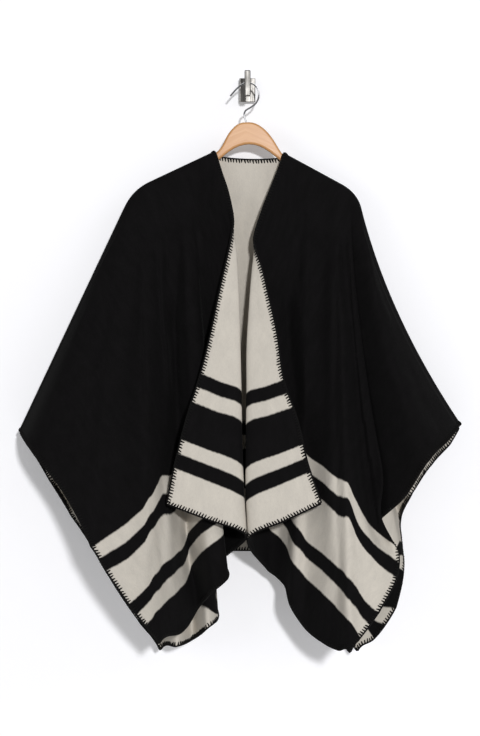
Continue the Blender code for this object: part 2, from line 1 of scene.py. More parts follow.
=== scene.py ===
"""Looks of the open-front blanket poncho on its wooden hanger and wall hook.

The cloth is built again, finer, on the form of its CAD solids: the same ribs, the same
shoulder fold, then listed soft creases, a black outer and a cream inner face, and
the black yarn stitched over every edge. Lengths in the tables are centimetres; "x",
"down" and "out" are as in the CAD: right, below the wall hook, and forward of the hanging
plane, drawn as seen by an eye 3 m in front.
"""
import math
from collections import namedtuple

import bpy
import numpy as np
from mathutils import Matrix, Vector
from mathutils.bvhtree import BVHTree


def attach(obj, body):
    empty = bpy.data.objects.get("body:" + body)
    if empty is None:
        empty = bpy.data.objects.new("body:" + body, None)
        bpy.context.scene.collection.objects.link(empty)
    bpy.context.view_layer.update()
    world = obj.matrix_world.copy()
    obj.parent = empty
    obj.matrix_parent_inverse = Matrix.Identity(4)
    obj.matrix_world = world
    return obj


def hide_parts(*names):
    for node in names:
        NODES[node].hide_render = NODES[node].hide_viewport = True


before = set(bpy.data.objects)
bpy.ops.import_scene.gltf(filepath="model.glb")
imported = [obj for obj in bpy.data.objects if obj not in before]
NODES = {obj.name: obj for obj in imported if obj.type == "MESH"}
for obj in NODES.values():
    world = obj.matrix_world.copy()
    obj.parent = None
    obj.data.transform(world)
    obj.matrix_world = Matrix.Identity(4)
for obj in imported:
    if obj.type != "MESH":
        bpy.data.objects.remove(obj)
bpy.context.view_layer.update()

# ------------------------------------------------------------------ sizes (as the CAD)
CM = 0.01
HALF_WIDTH = 75.0
DROP = 75.0
NECK_HALF = 7.7
NECK_DEPTH = 10.0
HALF_WALL = 0.00125      # half the cloth's thickness, metres
BEND = 1.0
SLIDE = 1.6
HANG_Y = -0.045
EYE_X, EYE_DOWN = -1.4, 54.2
EYE_DISTANCE = 300.0
PEAK = (0.5, 9.4)
ARM_END = {"left": (-22.0, 20.0), "right": (21.1, 20.6)}
TIP = {"left": (-43.8, 66.2), "right": (40.9, 65.0)}
ARM_FLAT = {"left": 24.4, "right": 23.4}
FOLD_BOW = {"left": 0.0, "right": -2.5}
CORNER = 3.5
LAPEL_FOOT = 16.2
LAPEL_BREAK = 14.6
LAPEL_MIN = 0.9
LAPEL_CROWN = 0.7
FOLD_TOP = 35.0
NECK_SAG = 0.45
HEM_MIDDLE = (-0.3, 89.0, -2.3)

Turn = namedtuple("Turn", "v edge_x edge_down edge_out roll_x roll_down roll_out")
TURN_LEFT = [Turn(*r) for r in (
    (0.0, -6.1, 12.3, 0.0, -6.9, 12.6, 0.0),
    (5.0, -5.1, 16.3, 1.0, -5.9, 16.6, 1.3),
    (10.0, -3.8, 20.4, 1.9, -4.6, 20.7, 2.0),
    (14.6, -2.8, 25.4, 3.2, -3.3, 25.6, 2.6),
    (17.6, -3.0, 28.3, 4.1, -2.7, 28.5, 3.1),
    (21.2, -3.6, 31.7, 4.4, -2.2, 31.9, 3.4),
    (30.8, -5.3, 39.4, 5.3, -1.7, 40.8, 4.5),
    (40.4, -7.0, 47.5, 6.6, -1.4, 49.8, 5.9),
    (50.0, -9.0, 55.5, 8.4, -1.2, 58.8, 7.6),
    (57.7, -11.5, 63.4, 9.9, -1.1, 67.3, 8.9),
    (66.3, -13.7, 71.9, 11.4, -0.8, 76.9, 10.4),
    (75.0, -15.4, 80.3, 12.6, -0.3, 86.0, 11.9))]
TURN_RIGHT = [Turn(*r) for r in (
    (0.0, 7.0, 12.3, 0.0, 7.8, 12.7, 0.0),
    (5.0, 6.1, 15.6, 1.0, 6.9, 15.9, 1.3),
    (10.0, 4.5, 19.8, 1.8, 5.3, 20.1, 1.9),
    (14.6, 2.8, 24.2, 2.5, 3.5, 24.5, 2.3),
    (19.2, 1.3, 29.2, 3.5, 1.8, 29.4, 2.9),
    (22.0, 1.7, 31.9, 4.2, 1.3, 32.4, 3.2),
    (25.0, 2.6, 34.6, 4.6, 0.9, 35.6, 3.6),
    (30.8, 3.8, 39.6, 5.2, 0.4, 41.3, 4.2),
    (40.4, 5.6, 47.9, 6.4, -0.2, 50.2, 5.6),
    (50.0, 6.9, 56.6, 8.2, -0.2, 59.1, 7.3),
    (57.7, 9.5, 64.2, 9.7, -0.3, 67.7, 8.7),
    (66.3, 11.5, 72.6, 11.2, -0.3, 77.5, 10.2),
    (75.0, 14.1, 80.2, 12.3, 0.2, 86.7, 11.7))]

Rib = namedtuple("Rib", "name top foot_u foot_v x down out curl bow")
FRONT_LEFT = [Rib(*r) for r in (
    ("pleat_in",     11.2, 28.0, 75.0,  -3.9,  90.0,  1.0, 2.2,  0.0),
    ("pleat_back",   12.0, 30.0, 75.0,  -5.3,  90.8,  0.5, 2.2,  0.0),
    ("crest_1",      13.3, 41.2, 75.0,  -3.9,  94.6, 11.5, 1.6, -0.4),
    ("crest_1b",     14.8, 45.4, 75.0,  -6.6,  97.0, 12.7, 1.5, -0.6),
    ("valley_1",     16.9, 53.3, 75.0,  -9.5, 100.2,  5.4, 1.5, -1.7),
    ("crest_2",      20.2, 60.8, 75.0, -12.2, 104.4, 10.8, 1.2, -0.6),
    ("corner",       24.4, 75.0, 75.0, -17.0, 107.1, 19.8, 1.0,  0.0),
    ("side_68",      25.2, 75.0, 68.3, -19.3, 104.1, 21.5, 1.0,  0.0),
    ("side_63",      26.0, 75.0, 62.9, -22.6,  99.9, 22.9, 1.0,  0.0),
    ("side_55",      26.9, 75.0, 55.4, -27.2,  93.1, 23.8, 1.0,  0.0),
    ("side_50",      28.1, 75.0, 50.0, -30.0,  88.5, 23.8, 1.0,  0.0),
    ("side_35",      29.8, 75.0, 34.6, -35.1,  78.3, 19.6, 1.0,  0.4),
    ("side_18",      32.1, 75.0, 18.3, -41.6,  69.8, 13.8, 1.0,  0.6))]
FRONT_RIGHT = [Rib(*r) for r in (
    ("pleat_in",     10.6, 30.0, 75.0,   4.0,  93.0,  1.0, 2.2,  0.0),
    ("pleat_back",   11.2, 32.0, 75.0,   5.4,  94.0,  1.2, 2.2,  0.0),
    ("step",         11.8, 37.0, 75.0,   7.3,  96.0,  4.2, 2.0,  0.0),
    ("crest_1",      12.8, 45.2, 75.0,   8.5, 100.2,  9.6, 1.6,  0.4),
    ("valley_1",     14.2, 51.5, 75.0,  11.2, 104.2, 10.8, 1.5, -0.6),
    ("crest_2",      16.0, 58.1, 75.0,  14.3, 106.7, 14.6, 1.4,  0.4),
    ("flank",        17.6, 65.0, 75.0,  17.2, 108.2, 17.3, 1.2,  0.0),
    ("corner",       19.0, 75.0, 75.0,  19.7, 108.8, 21.5, 1.2,  0.0),
    ("side_68",      19.6, 75.0, 68.3,  21.8, 105.7, 19.4, 1.2,  0.0),
    ("side_63",      20.1, 75.0, 62.9,  25.1, 101.2, 17.5, 1.2, -0.5),
    ("side_55",      20.6, 75.0, 55.4,  28.6,  94.5, 16.3, 1.2, -1.0),
    ("side_50",      21.1, 75.0, 50.4,  29.3,  89.4, 14.4, 1.2, -1.4),
    ("deep_valley",  21.8, 75.0, 41.3,  25.7,  84.0,  8.0, 1.2, -1.7),
    ("side_32",      24.0, 75.0, 31.7,  30.3,  78.7, 12.0, 1.0, -1.8),
    ("side_22",      26.6, 75.0, 22.1,  34.9,  71.7, 15.4, 1.0, -2.0),
    ("side_11",      30.0, 75.0, 11.5,  38.4,  68.1,  8.9, 1.0, -2.2))]
BACK_LEFT = [Rib(*r) for r in (
    ("neck",          7.7,  8.7, 75.0,  -4.7,  89.3, -2.2, 1.6,  0.0),
    ("under",         8.4, 13.8, 75.0,  -8.8,  90.2, -2.5, 1.6,  0.0),
    ("tuck_end",      9.2, 18.3, 75.0, -11.8,  91.7, -1.2, 1.6,  0.0),
    ("tuck_mid",     10.1, 24.0, 75.0,  -9.9,  95.6,  0.8, 2.0,  0.0),
    ("tuck",         11.5, 30.8, 75.0,  -6.6,  99.8,  2.7, 2.2,  0.0),
    ("crest_1b",     13.1, 35.6, 75.0,  -5.7, 102.1,  5.0, 2.4,  0.0),
    ("crest_1",      14.8, 41.3, 75.0,  -7.6, 104.0,  8.5, 2.4,  0.0),
    ("valley_1",     16.9, 50.4, 75.0, -10.5, 106.2,  1.5, 2.0,  0.0),
    ("crest_2",      20.2, 60.8, 75.0, -13.4, 107.5,  7.7, 2.0,  0.0),
    ("corner",       24.4, 75.0, 75.0, -16.8, 108.3,  2.3, 1.0,  0.0),
    ("side_66",      25.2, 75.0, 66.3, -20.7, 102.9,  5.8, 1.0,  0.0),
    ("side_58",      26.0, 75.0, 57.7, -25.1,  96.5,  0.4, 1.0,  0.0),
    ("side_49",      26.9, 75.0, 49.0, -29.3,  89.4,  7.3, 1.0,  0.0),
    ("side_37",      28.1, 75.0, 37.5, -33.8,  82.5, -2.5, 1.0,  0.0),
    ("side_24",      29.8, 75.0, 24.0, -38.0,  75.6,  6.9, 1.0,  0.4),
    ("side_11",      32.1, 75.0, 11.5, -41.2,  70.4, -2.6, 1.0,  0.8))]
BACK_RIGHT = [Rib(*r) for r in (
    ("neck",          7.7,  8.7, 75.0,   4.5,  89.3, -2.2, 1.6,  0.0),
    ("under",         8.3, 13.8, 75.0,   8.6,  90.2, -2.5, 1.6,  0.0),
    ("tuck_end",      9.0, 18.3, 75.0,  11.6,  91.7, -1.2, 1.6,  0.0),
    ("tuck_mid",     10.1, 24.0, 75.0,  10.3,  94.4,  0.8, 2.0,  0.0),
    ("tuck",         11.0, 28.5, 75.0,   8.5,  95.2,  2.4, 2.2,  0.0),
    ("crest_1b",     11.9, 32.3, 75.0,   8.8,  96.8,  4.6, 2.4,  0.0),
    ("crest_1",      12.7, 36.9, 75.0,  10.1,  98.7,  4.6, 2.4,  0.0),
    ("valley_1",     14.2, 44.2, 75.0,  12.0, 101.5,  1.6, 2.0,  0.0),
    ("crest_2",      16.9, 52.9, 75.0,  14.9, 104.4,  6.5, 2.0,  0.0),
    ("valley_2",     18.0, 62.5, 75.0,  18.0, 106.7, -0.8, 1.6,  0.0),
    ("corner",       19.0, 75.0, 75.0,  21.1, 108.5,  4.2, 1.2,  0.0),
    ("side_68",      19.6, 75.0, 68.3,  24.6, 105.8,  5.6, 1.2,  0.0),
    ("side_63",      20.1, 75.0, 62.9,  28.4, 100.2,  6.8, 1.2, -0.5),
    ("side_55",      20.6, 75.0, 55.4,  29.9,  93.1,  4.6, 1.2, -1.0),
    ("side_50",      21.1, 75.0, 50.4,  29.6,  88.1,  1.2, 1.2, -1.4),
    ("side_44",      21.8, 75.0, 44.2,  29.3,  83.8, -1.4, 1.2, -1.6),
    ("side_32",      24.0, 75.0, 31.7,  31.6,  78.1,  3.2, 1.0, -1.8),
    ("side_22",      26.6, 75.0, 22.1,  35.3,  72.7, -2.0, 1.0, -2.0),
    ("side_11",      30.0, 75.0, 11.5,  38.8,  68.8,  1.2, 1.0, -2.2))]

# rows of the finer grid: close over the bend, then evenly down the cut
NEAR_ROWS = [0.0, 0.22, 0.45, 0.7, 1.0, 1.3, 1.65, 2.05, 2.5, 3.0, 3.6, 4.3, 5.0, 5.8]
ROW_STEP = 0.66
ROWS = np.array(NEAR_ROWS + list(np.linspace(5.8, DROP, int((DROP - 5.8) / ROW_STEP) + 1)[1:])) / DROP
COLUMN_STEP = {"front": 0.78, "back": 0.86}      # cm of cut along the foot


# ------------------------------------------------------------------ the hanging form
def fold_line(side, u):
    end, flat, tip = ARM_END[side], ARM_FLAT[side], TIP[side]
    u = np.asarray(u, float)

    def straight(w):
        w = np.asarray(w, float)
        k = w / flat
        q = (w - flat) / (HALF_WIDTH - flat)
        sag = FOLD_BOW[side] * 4 * q * (1 - q)
        x = np.where(w <= flat, PEAK[0] + (end[0] - PEAK[0]) * k,
                     end[0] + (tip[0] - end[0]) * q + sag)
        d = np.where(w <= flat, PEAK[1] + (end[1] - PEAK[1]) * k,
                     end[1] + (tip[1] - end[1]) * q)
        return x, d

    x, d = straight(u)
    a, b = straight(flat - CORNER), straight(flat + CORNER)
    k = (u - flat + CORNER) / (2 * CORNER)
    near = np.abs(u - flat) < CORNER
    cx = (1 - k) ** 2 * a[0] + 2 * k * (1 - k) * end[0] + k ** 2 * b[0]
    cd = (1 - k) ** 2 * a[1] + 2 * k * (1 - k) * end[1] + k ** 2 * b[1]
    return np.where(near, cx, x), np.where(near, cd, d)


def fold_normal(side, u):
    a, b = fold_line(side, np.maximum(u - 0.5, 0.0)), fold_line(side, u + 0.5)
    dx, dd = b[0] - a[0], b[1] - a[1]
    n = np.hypot(dx, dd)
    flip = np.where(dx > 0, -1.0, 1.0)
    return flip * dd / n, -flip * dx / n


def over_the_bend(side, u, v, x, down, out, sign):
    k = np.clip((12.5 - u) / 4.0, 0, 1)
    near_neck = k * k * (3 - 2 * k) * np.maximum(0.0, 1 - v / 5.0)
    past = v - sign * SLIDE * near_neck
    arc = np.minimum(np.abs(past) / BEND, math.pi / 2)
    turn = np.copysign(np.sin(arc), past) * sign
    drop = BEND * (1 - np.cos(arc)) + np.maximum(0.0, np.abs(past) - BEND * math.pi / 2)
    fx, fd = fold_line(side, u)
    nx, nd = fold_normal(side, u)
    away = (x - fx) * nx + (down - fd) * nd
    along = (x - fx) * nd - (down - fd) * nx
    near = np.clip(1 - v / 3.0, 0, 1)
    near = near * near * (3 - 2 * near)
    fade = np.clip(1 - (v - 1.5) / 12.5, 0, 1)
    fade = fade * fade * (3 - 2 * fade)
    want = drop * (near + (1 - near) * away / np.maximum(v, 0.1))
    want = away + (want - away) * fade
    along = along * (1 - near)
    inside = v < 14.0
    return (np.where(inside, fx + nx * want + nd * along, x),
            np.where(inside, fd + nd * want - nx * along, down), out + turn * BEND)


def hung(side, q, sign, plain=False):
    """From table points (..., 5) to the frame, in metres."""
    u, v, x, down, out = (q[..., i] for i in range(5))
    if not plain:
        x, down, out = over_the_bend(side, u, v, x, down, out, sign)
    near = 1 - out / EYE_DISTANCE
    return np.stack([(EYE_X + (x - EYE_X) * near) * CM, HANG_Y - out * CM,
                     -(EYE_DOWN + (down - EYE_DOWN) * near) * CM], -1)


def ease(xs, ys, x):
    xs, ys, x = np.array(xs, float), np.array(ys, float), np.asarray(x, float)
    k = np.clip(np.searchsorted(xs, x) - 1, 0, len(xs) - 2)
    i = np.arange(len(xs))
    lo, hi = np.maximum(i - 1, 0), np.minimum(i + 1, len(xs) - 1)
    slope = (ys[hi] - ys[lo]) / (xs[hi] - xs[lo])
    h = xs[k + 1] - xs[k]
    t = (x - xs[k]) / h
    return ((2 * t ** 3 - 3 * t ** 2 + 1) * ys[k] + (t ** 3 - 2 * t ** 2 + t) * h * slope[k]
            + (3 * t ** 2 - 2 * t ** 3) * ys[k + 1] + (t ** 3 - t ** 2) * h * slope[k + 1])


def rib_points(side, rib, t):
    fx, fd = fold_line(side, rib.top)
    return np.stack([rib.top + (rib.foot_u - rib.top) * t, rib.foot_v * t,
                     fx + (rib.x - fx) * t + rib.bow * 4 * t * (1 - t),
                     fd + (rib.down - fd) * t, rib.out * t ** rib.curl], -1)


def fold_points(side, t):
    u = FOLD_TOP + (HALF_WIDTH - FOLD_TOP) * t
    x, d = fold_line(side, u)
    return np.stack([u, 0 * t, x, d, 0 * t], -1)


def turn_points(table, t):
    v = DROP * t
    vs = [r.v for r in table]
    get = lambda c: ease(vs, [getattr(r, c) for r in table], v)
    edge = [get("edge_" + c) for c in ("x", "down", "out")]
    roll = [get("roll_" + c) for c in ("x", "down", "out")]
    edge_u = np.where(v < NECK_DEPTH,
                      NECK_HALF * np.sqrt(np.clip(1 - (v / NECK_DEPTH) ** 2, 0, 1)), 0.0)
    lapel = LAPEL_FOOT * (v - LAPEL_BREAK) / (DROP - LAPEL_BREAK)
    # a soft start of the lapel, where the least strip ends
    lapel_u = LAPEL_MIN + 0.5 * ((lapel - LAPEL_MIN) + np.sqrt((lapel - LAPEL_MIN) ** 2 + 0.3))
    lapel_u = np.where(v < 6, LAPEL_MIN, lapel_u)
    roll_u = edge_u + lapel_u
    width = np.maximum(0.0, lapel) / LAPEL_FOOT
    mid = [(a + b) / 2 for a, b in zip(edge, roll)]
    mid[2] = mid[2] + LAPEL_CROWN * width
    return [np.stack([edge_u, v, *edge], -1), np.stack([(edge_u + roll_u) / 2, v, *mid], -1),
            np.stack([roll_u, v, *roll], -1)]


def through(points, steps, straight):
    """(rows, columns, 5): each row a rounded line through its rib points. From the point
    numbered straight on, the tangents allow for the turn that the row takes on the cut,
    so that the bands run smoothly over a rib where the foot turns a corner."""
    count = len(points)
    rib_way = [np.gradient(p, ROWS, axis=0) for p in points]

    def neighbour(i, j):
        """Point j seen square across from rib i, and how far that moved it."""
        if i < straight:
            return points[j], np.zeros_like(points[i])
        cut = (points[j] - points[i])[:, :2]
        r = rib_way[i][:, :2]
        a = (cut * r).sum(1) / np.maximum((r * r).sum(1), 1e-9)
        move = a[:, None] * rib_way[i]
        return points[j] - move, move

    def size(q):
        return np.maximum(np.linalg.norm(q[:, 2:], axis=1), 1e-6)[:, None] ** 0.5

    into, onto = [None] * count, [None] * count      # tangents of the interval before, after
    for i in range(count):
        p = points[i]
        if i > 0:
            before, move_b = neighbour(i, i - 1)
        if i + 1 < count:
            after, move_a = neighbour(i, i + 1)
        if i == 0:
            before, move_b = 2 * p - after, 0 * p
        if i + 1 == count:
            after, move_a = 2 * p - before, 0 * p
        k0, k1 = size(p - before), size(after - p)
        way = (p - before) / k0 - (after - before) / (k0 + k1) + (after - p) / k1
        into[i] = way * k0 - move_b
        onto[i] = way * k1 + move_a
    cols = []
    for i, ss in enumerate(steps):
        a, b, ma, mb = points[i], points[i + 1], onto[i], into[i + 1]
        for s in ss:
            q = ((2 * s ** 3 - 3 * s ** 2 + 1) * a + (s ** 3 - 2 * s ** 2 + s) * ma
                 + (3 * s ** 2 - 2 * s ** 3) * b + (s ** 3 - s ** 2) * mb)
            q[:, :2] = a[:, :2] + (b - a)[:, :2] * s
            cols.append(q)
    cols.append(points[-1])
    return np.stack(cols, 1)


def even(n):
    return [j / n for j in range(n)]


def column_steps(line, gap):
    """How each interval between ribs is cut, from its length along the foot of the cut."""
    steps = []
    for a, b in zip(line, line[1:]):
        length = float(np.hypot(*(b[-1, :2] - a[-1, :2])))
        steps.append(even(max(2, int(round(length / gap)))))
    return steps


def near_fold_steps(reach, gap):
    """The last interval, which ends on the shoulder fold: close over the bend."""
    offs = [0.3, 0.65, 1.05, 1.5, 2.0, 2.7, 3.5, 4.4]
    w = 4.4
    while w + gap < reach - 0.4:
        w += gap
        offs.append(w)
    return [0.0] + [1 - o / reach for o in offs[::-1] if o < reach - 0.2]


def front_grid(side, turns, ribs):
    line = turn_points(turns, ROWS) + [rib_points(side, r, ROWS) for r in ribs]
    line.append(fold_points(side, ROWS))
    steps = column_steps(line, COLUMN_STEP["front"])
    steps[0] = even(9)
    steps[1] = [0, .12, .24, .36, .48, .59, .69, .78, .85, .91, .96]
    steps[2] = [0, .02, .045, .08, .125, .18, .245, .32, .4, .49, .58, .67, .76, .84, .92]
    steps[-1] = near_fold_steps(ribs[-1].foot_v, COLUMN_STEP["front"])
    q = through(line, steps, 3)
    return hung(side, q, 1), q[..., :2]


def neck_edge(u):
    ends = []
    for side in ("left", "right"):
        fx, fd = fold_line(side, NECK_HALF)
        nx, nd = fold_normal(side, NECK_HALF)
        ends.append((float(fx + nx * 0.98), float(fd + nd * 0.98)))
    k = (u + NECK_HALF) / (2 * NECK_HALF)
    sag = 4 * k * (1 - k)
    return (ends[0][0] + (ends[1][0] - ends[0][0]) * k,
            ends[0][1] + (ends[1][1] - ends[0][1]) * k + NECK_SAG * sag, -BEND - 0.15 * sag)


def smooth_columns(pts, n):
    """Catmull-Rom across whole columns: pts is a list of (rows, k) arrays; the first and
    last only steer."""
    out = []
    for i in range(1, len(pts) - 2):
        p0, p1, p2, p3 = pts[i - 1:i + 3]
        for j in range(n):
            s = j / n
            out.append(0.5 * (2 * p1 + (p2 - p0) * s + (2 * p0 - 5 * p1 + 4 * p2 - p3) * s ** 2
                              + (3 * p1 - p0 - 3 * p2 + p3) * s ** 3))
    return out


def back_grid():
    t = ROWS
    sides = {}
    for side, ribs in (("left", BACK_LEFT), ("right", BACK_RIGHT)):
        line = [rib_points(side, r, t) for r in ribs] + [fold_points(side, t)]
        steps = column_steps(line, COLUMN_STEP["back"])
        steps[-1] = near_fold_steps(ribs[-1].foot_v, COLUMN_STEP["back"])
        q = through(line, steps, 1)
        sides[side] = (hung(side, q, -1), q[..., :2].copy(), len(steps[0]))
    middle = []
    for u in (-3.85, 0.0, 3.85):
        x, down, out = neck_edge(u)
        q = np.stack([np.full_like(t, u), DROP * t, x + (HEM_MIDDLE[0] + u * 1.13 - x) * t,
                      down + (HEM_MIDDLE[1] + 0.15 - down) * t, out + (HEM_MIDDLE[2] - out) * t], -1)
        p = hung("left", q, -1, plain=True)
        # signed distance across the cut, and down it
        middle.append(np.concatenate([p, q[:, :2]], 1))
    lp, lc, ln = sides["left"]
    rp, rc, rn = sides["right"]
    lc[..., 0] *= -1
    lcol = [np.concatenate([lp[:, j], lc[:, j]], 1) for j in (ln, 0)]
    rcol = [np.concatenate([rp[:, j], rc[:, j]], 1) for j in (0, rn)]
    mid = smooth_columns(lcol + middle + rcol, 6)[1:]
    mid = np.stack(mid, 1)
    # straight numbers on the cut between the neck corners
    grid = np.concatenate([lp[:, ::-1], mid[..., :3], rp], 1)
    cut = np.concatenate([lc[:, ::-1], mid[..., 3:], rc], 1)
    return grid, cut, lp.shape[1] - 1, lp.shape[1] + mid.shape[1]


def fold_across(side, u):
    """At the fold's top: the unit direction square to the cloth there, outer side."""
    def at(w, v, sign):
        w = np.asarray(w, float)
        x, d = fold_line(side, w)
        return hung(side, np.stack([w, 0 * w + v, x, d, 0 * w], -1), sign)
    across = at(u, 0.06, 1) - at(u, 0.06, -1)
    along = at(u + 0.05, 0, 1) - at(u - 0.05, 0, 1)
    n = np.cross(along, across)
    n /= np.linalg.norm(n, axis=-1, keepdims=True)
    return n * np.where(n[..., 2:] < 0, -1.0, 1.0)


# ------------------------------------------------------------------ listed creases
# From (u0, v0) to (u1, v1) on the cut, in cm; width is the half width, depth in mm along
# the outer side (minus is a trough seen from outside), sway its sideways bow, in cm; rise
# and fall say how fast it comes and goes along its length.
DEEP = 7.0          # mm, from here a front's crease is pushed straight forward or back
Crease = namedtuple("Crease", "u0 v0 u1 v1 width depth sway rise fall", defaults=(4.0, 3.0))
CREASES = {
    "front_left": [Crease(*r) for r in (
        (17.0, 14.0, 27.5, 47.0, 1.9, -2.6, 0.8),
        (21.5, 18.0, 35.0, 56.0, 2.4, 2.4, -0.6),
        (24.0, 9.0, 33.0, 30.0, 1.7, -2.0, 0.5),
        (29.0, 27.0, 46.0, 66.0, 2.1, -2.2, -1.2),
        (13.0, 22.0, 19.5, 60.0, 1.8, 1.6, 0.9),
        (38.0, 10.0, 59.0, 20.0, 2.6, -2.4, 1.0),
        (44.0, 6.0, 66.0, 9.0, 1.8, 1.5, 0.4),
        (49.0, 24.0, 69.0, 43.0, 2.7, 2.6, -1.0),
        (52.0, 34.0, 66.0, 58.0, 2.0, -2.3, 0.7),
        (36.0, 30.0, 52.0, 45.0, 3.0, -1.8, 0.9),
        (62.0, 60.0, 72.0, 70.0, 1.8, 1.8, 0.3),
        (5.5, 52.0, 8.0, 73.0, 2.2, 1.4, 0.4),
        # the two main troughs beside the lapel, and the ridge between them
        (19.5, 10.7, 38.0, 45.7, 1.2, -13.0, -0.6, 2.2, 2.6),
        (22.8, 8.0, 38.8, 40.0, 1.0, 7.0, -0.5),
        (45.0, 45.0, 63.0, 69.0, 2.1, 11.0, 0.0, 3.0, 5.0),
        (42.0, 53.0, 54.0, 71.0, 1.5, -10.0, 0.0, 3.0, 4.0),
        (25.0, 7.0, 61.0, 50.0, 1.9, -10.0, -2.2, 2.0, 2.6),
        (19.0, 11.0, 25.0, 26.0, 0.9, 4.0, 0.2),
        (22.5, 22.0, 29.0, 38.0, 0.9, 3.5, 0.3))],
    "front_right": [Crease(*r) for r in (
        (15.0, 16.0, 22.0, 45.0, 1.8, -1.8, 0.6),
        (18.0, 11.0, 26.0, 33.0, 1.9, 1.9, -0.5),
        (22.5, 20.0, 37.0, 60.0, 2.2, -2.0, 0.9),
        (24.5, 12.0, 38.0, 31.0, 1.7, -2.6, -0.5),
        (33.0, 13.0, 55.0, 24.0, 2.5, 2.2, 0.9),
        (40.0, 7.5, 63.0, 12.0, 2.1, -2.1, 0.5),
        (31.0, 33.0, 47.0, 58.0, 2.7, 2.0, -1.1),
        (48.0, 30.0, 66.0, 45.0, 2.3, -2.4, 0.8),
        (53.0, 52.0, 65.0, 69.0, 2.0, 1.9, 0.5),
        (12.0, 28.0, 18.0, 66.0, 1.7, 1.4, -0.7),
        (5.0, 50.0, 9.0, 72.0, 2.3, -1.3, 0.5),
        # the deep trough, and the pocket at its foot beside the edge
        (38.0, 35.0, 59.0, 70.0, 3.2, 13.0, 0.0, 3.0, 5.0),
        (63.0, 52.2, 75.0, 53.8, 0.9, 5.0, 0.0),
        (24.0, 9.0, 43.0, 46.0, 1.8, 7.0, 0.0),
        (25.0, 7.0, 38.5, 22.0, 1.1, -6.0, 0.0),
        (13.0, 22.0, 34.0, 47.0, 2.4, -8.0, 0.8))],
    "back": [Crease(*r) for r in (
        (-10.0, 9.0, -17.0, 52.0, 2.1, -6.6, 1.2),
        (-14.0, 6.0, -24.0, 38.0, 1.8, 5.4, -0.7),
        (-19.0, 8.0, -33.0, 57.0, 2.5, -6.9, 1.4),
        (-23.0, 5.0, -34.0, 27.0, 1.7, -4.5, 0.5),
        (-27.0, 18.0, -45.0, 61.0, 2.8, 6.6, -1.3),
        (-33.0, 9.0, -58.0, 27.0, 2.6, -5.8, 1.1),
        (-40.0, 6.0, -66.0, 12.0, 2.0, 3.8, 0.4),
        (-47.0, 27.0, -68.0, 50.0, 2.4, -5.4, -0.9),
        (-55.0, 47.0, -67.0, 69.0, 2.1, 4.8, 0.7),
        (-3.5, 20.0, -6.0, 70.0, 2.4, 4.2, -0.6),
        (2.0, 8.0, 1.0, 46.0, 2.0, -3.8, 0.7),
        (9.5, 7.0, 15.0, 44.0, 2.0, 5.8, -0.8),
        (13.0, 10.0, 24.0, 56.0, 2.4, -6.6, 1.1),
        (18.0, 6.0, 27.0, 31.0, 1.7, 4.6, 0.6),
        (23.0, 15.0, 41.0, 58.0, 2.7, -5.4, -1.2),
        (27.0, 7.0, 50.0, 24.0, 2.4, 5.6, 0.9),
        (38.0, 7.0, 64.0, 13.0, 2.0, -4.2, -0.4),
        (44.0, 25.0, 66.0, 44.0, 2.6, 5.0, 0.9),
        (50.0, 40.0, 67.0, 66.0, 2.2, -5.1, -0.8),
        (7.0, 40.0, 9.0, 73.0, 2.0, -2.0, 0.5))],
}


# Deep hollows down a wide front, pushed straight back: each is a line down the hanging
# cloth of (z, x, half-width, depth), all in cm. They go by place and not by cut, so that
# where the cloth doubles under itself both layers move together.
HOLLOWS = {
    "front_left": (),
    "front_right": (
        ((-29.0, 19.2, 1.2, 0.0), (-40.0, 20.3, 1.8, 1.5), (-51.0, 21.3, 2.2, 2.6),
         (-64.0, 22.1, 2.4, 4.2), (-75.0, 22.7, 2.0, 4.4), (-81.0, 23.3, 1.6, 4.4),
         (-84.5, 24.0, 1.3, 3.4), (-86.7, 25.0, 1.2, 1.2), (-88.2, 26.2, 1.1, 0.0)),)}
# and soft sideways moves at a place of the cut: (u, v, reach u, reach v, x, y, z), all in cm
NUDGES = {
    "front_left": (),
    "front_right": ((69.5, 46.0, 6.5, 5.0, -2.0, 0.0, 0.0),)}


def tree_of(grid):
    r, c = grid.shape[:2]
    i = np.arange(r * c).reshape(r, c)
    f = np.stack([i[:-1, :-1], i[1:, :-1], i[1:, 1:], i[:-1, 1:]], -1).reshape(-1, 4)
    return BVHTree.FromPolygons([Vector(p) for p in grid.reshape(-1, 3)], f.tolist())


def calm(n, reach):
    """1 on cloth that faces forward or back, falling to 0 round a steep flank."""
    steep = (np.abs(n[..., 1]) < 0.42).astype(float)
    for axis in (0, 1):
        steep = np.max([np.roll(steep, s, axis) for s in range(-reach, reach + 1)], axis=0)
    for k in range(4):
        for axis in (0, 1):
            steep = np.mean([np.roll(steep, s, axis) for s in range(-2, 3)], axis=0)
    return 1 - steep


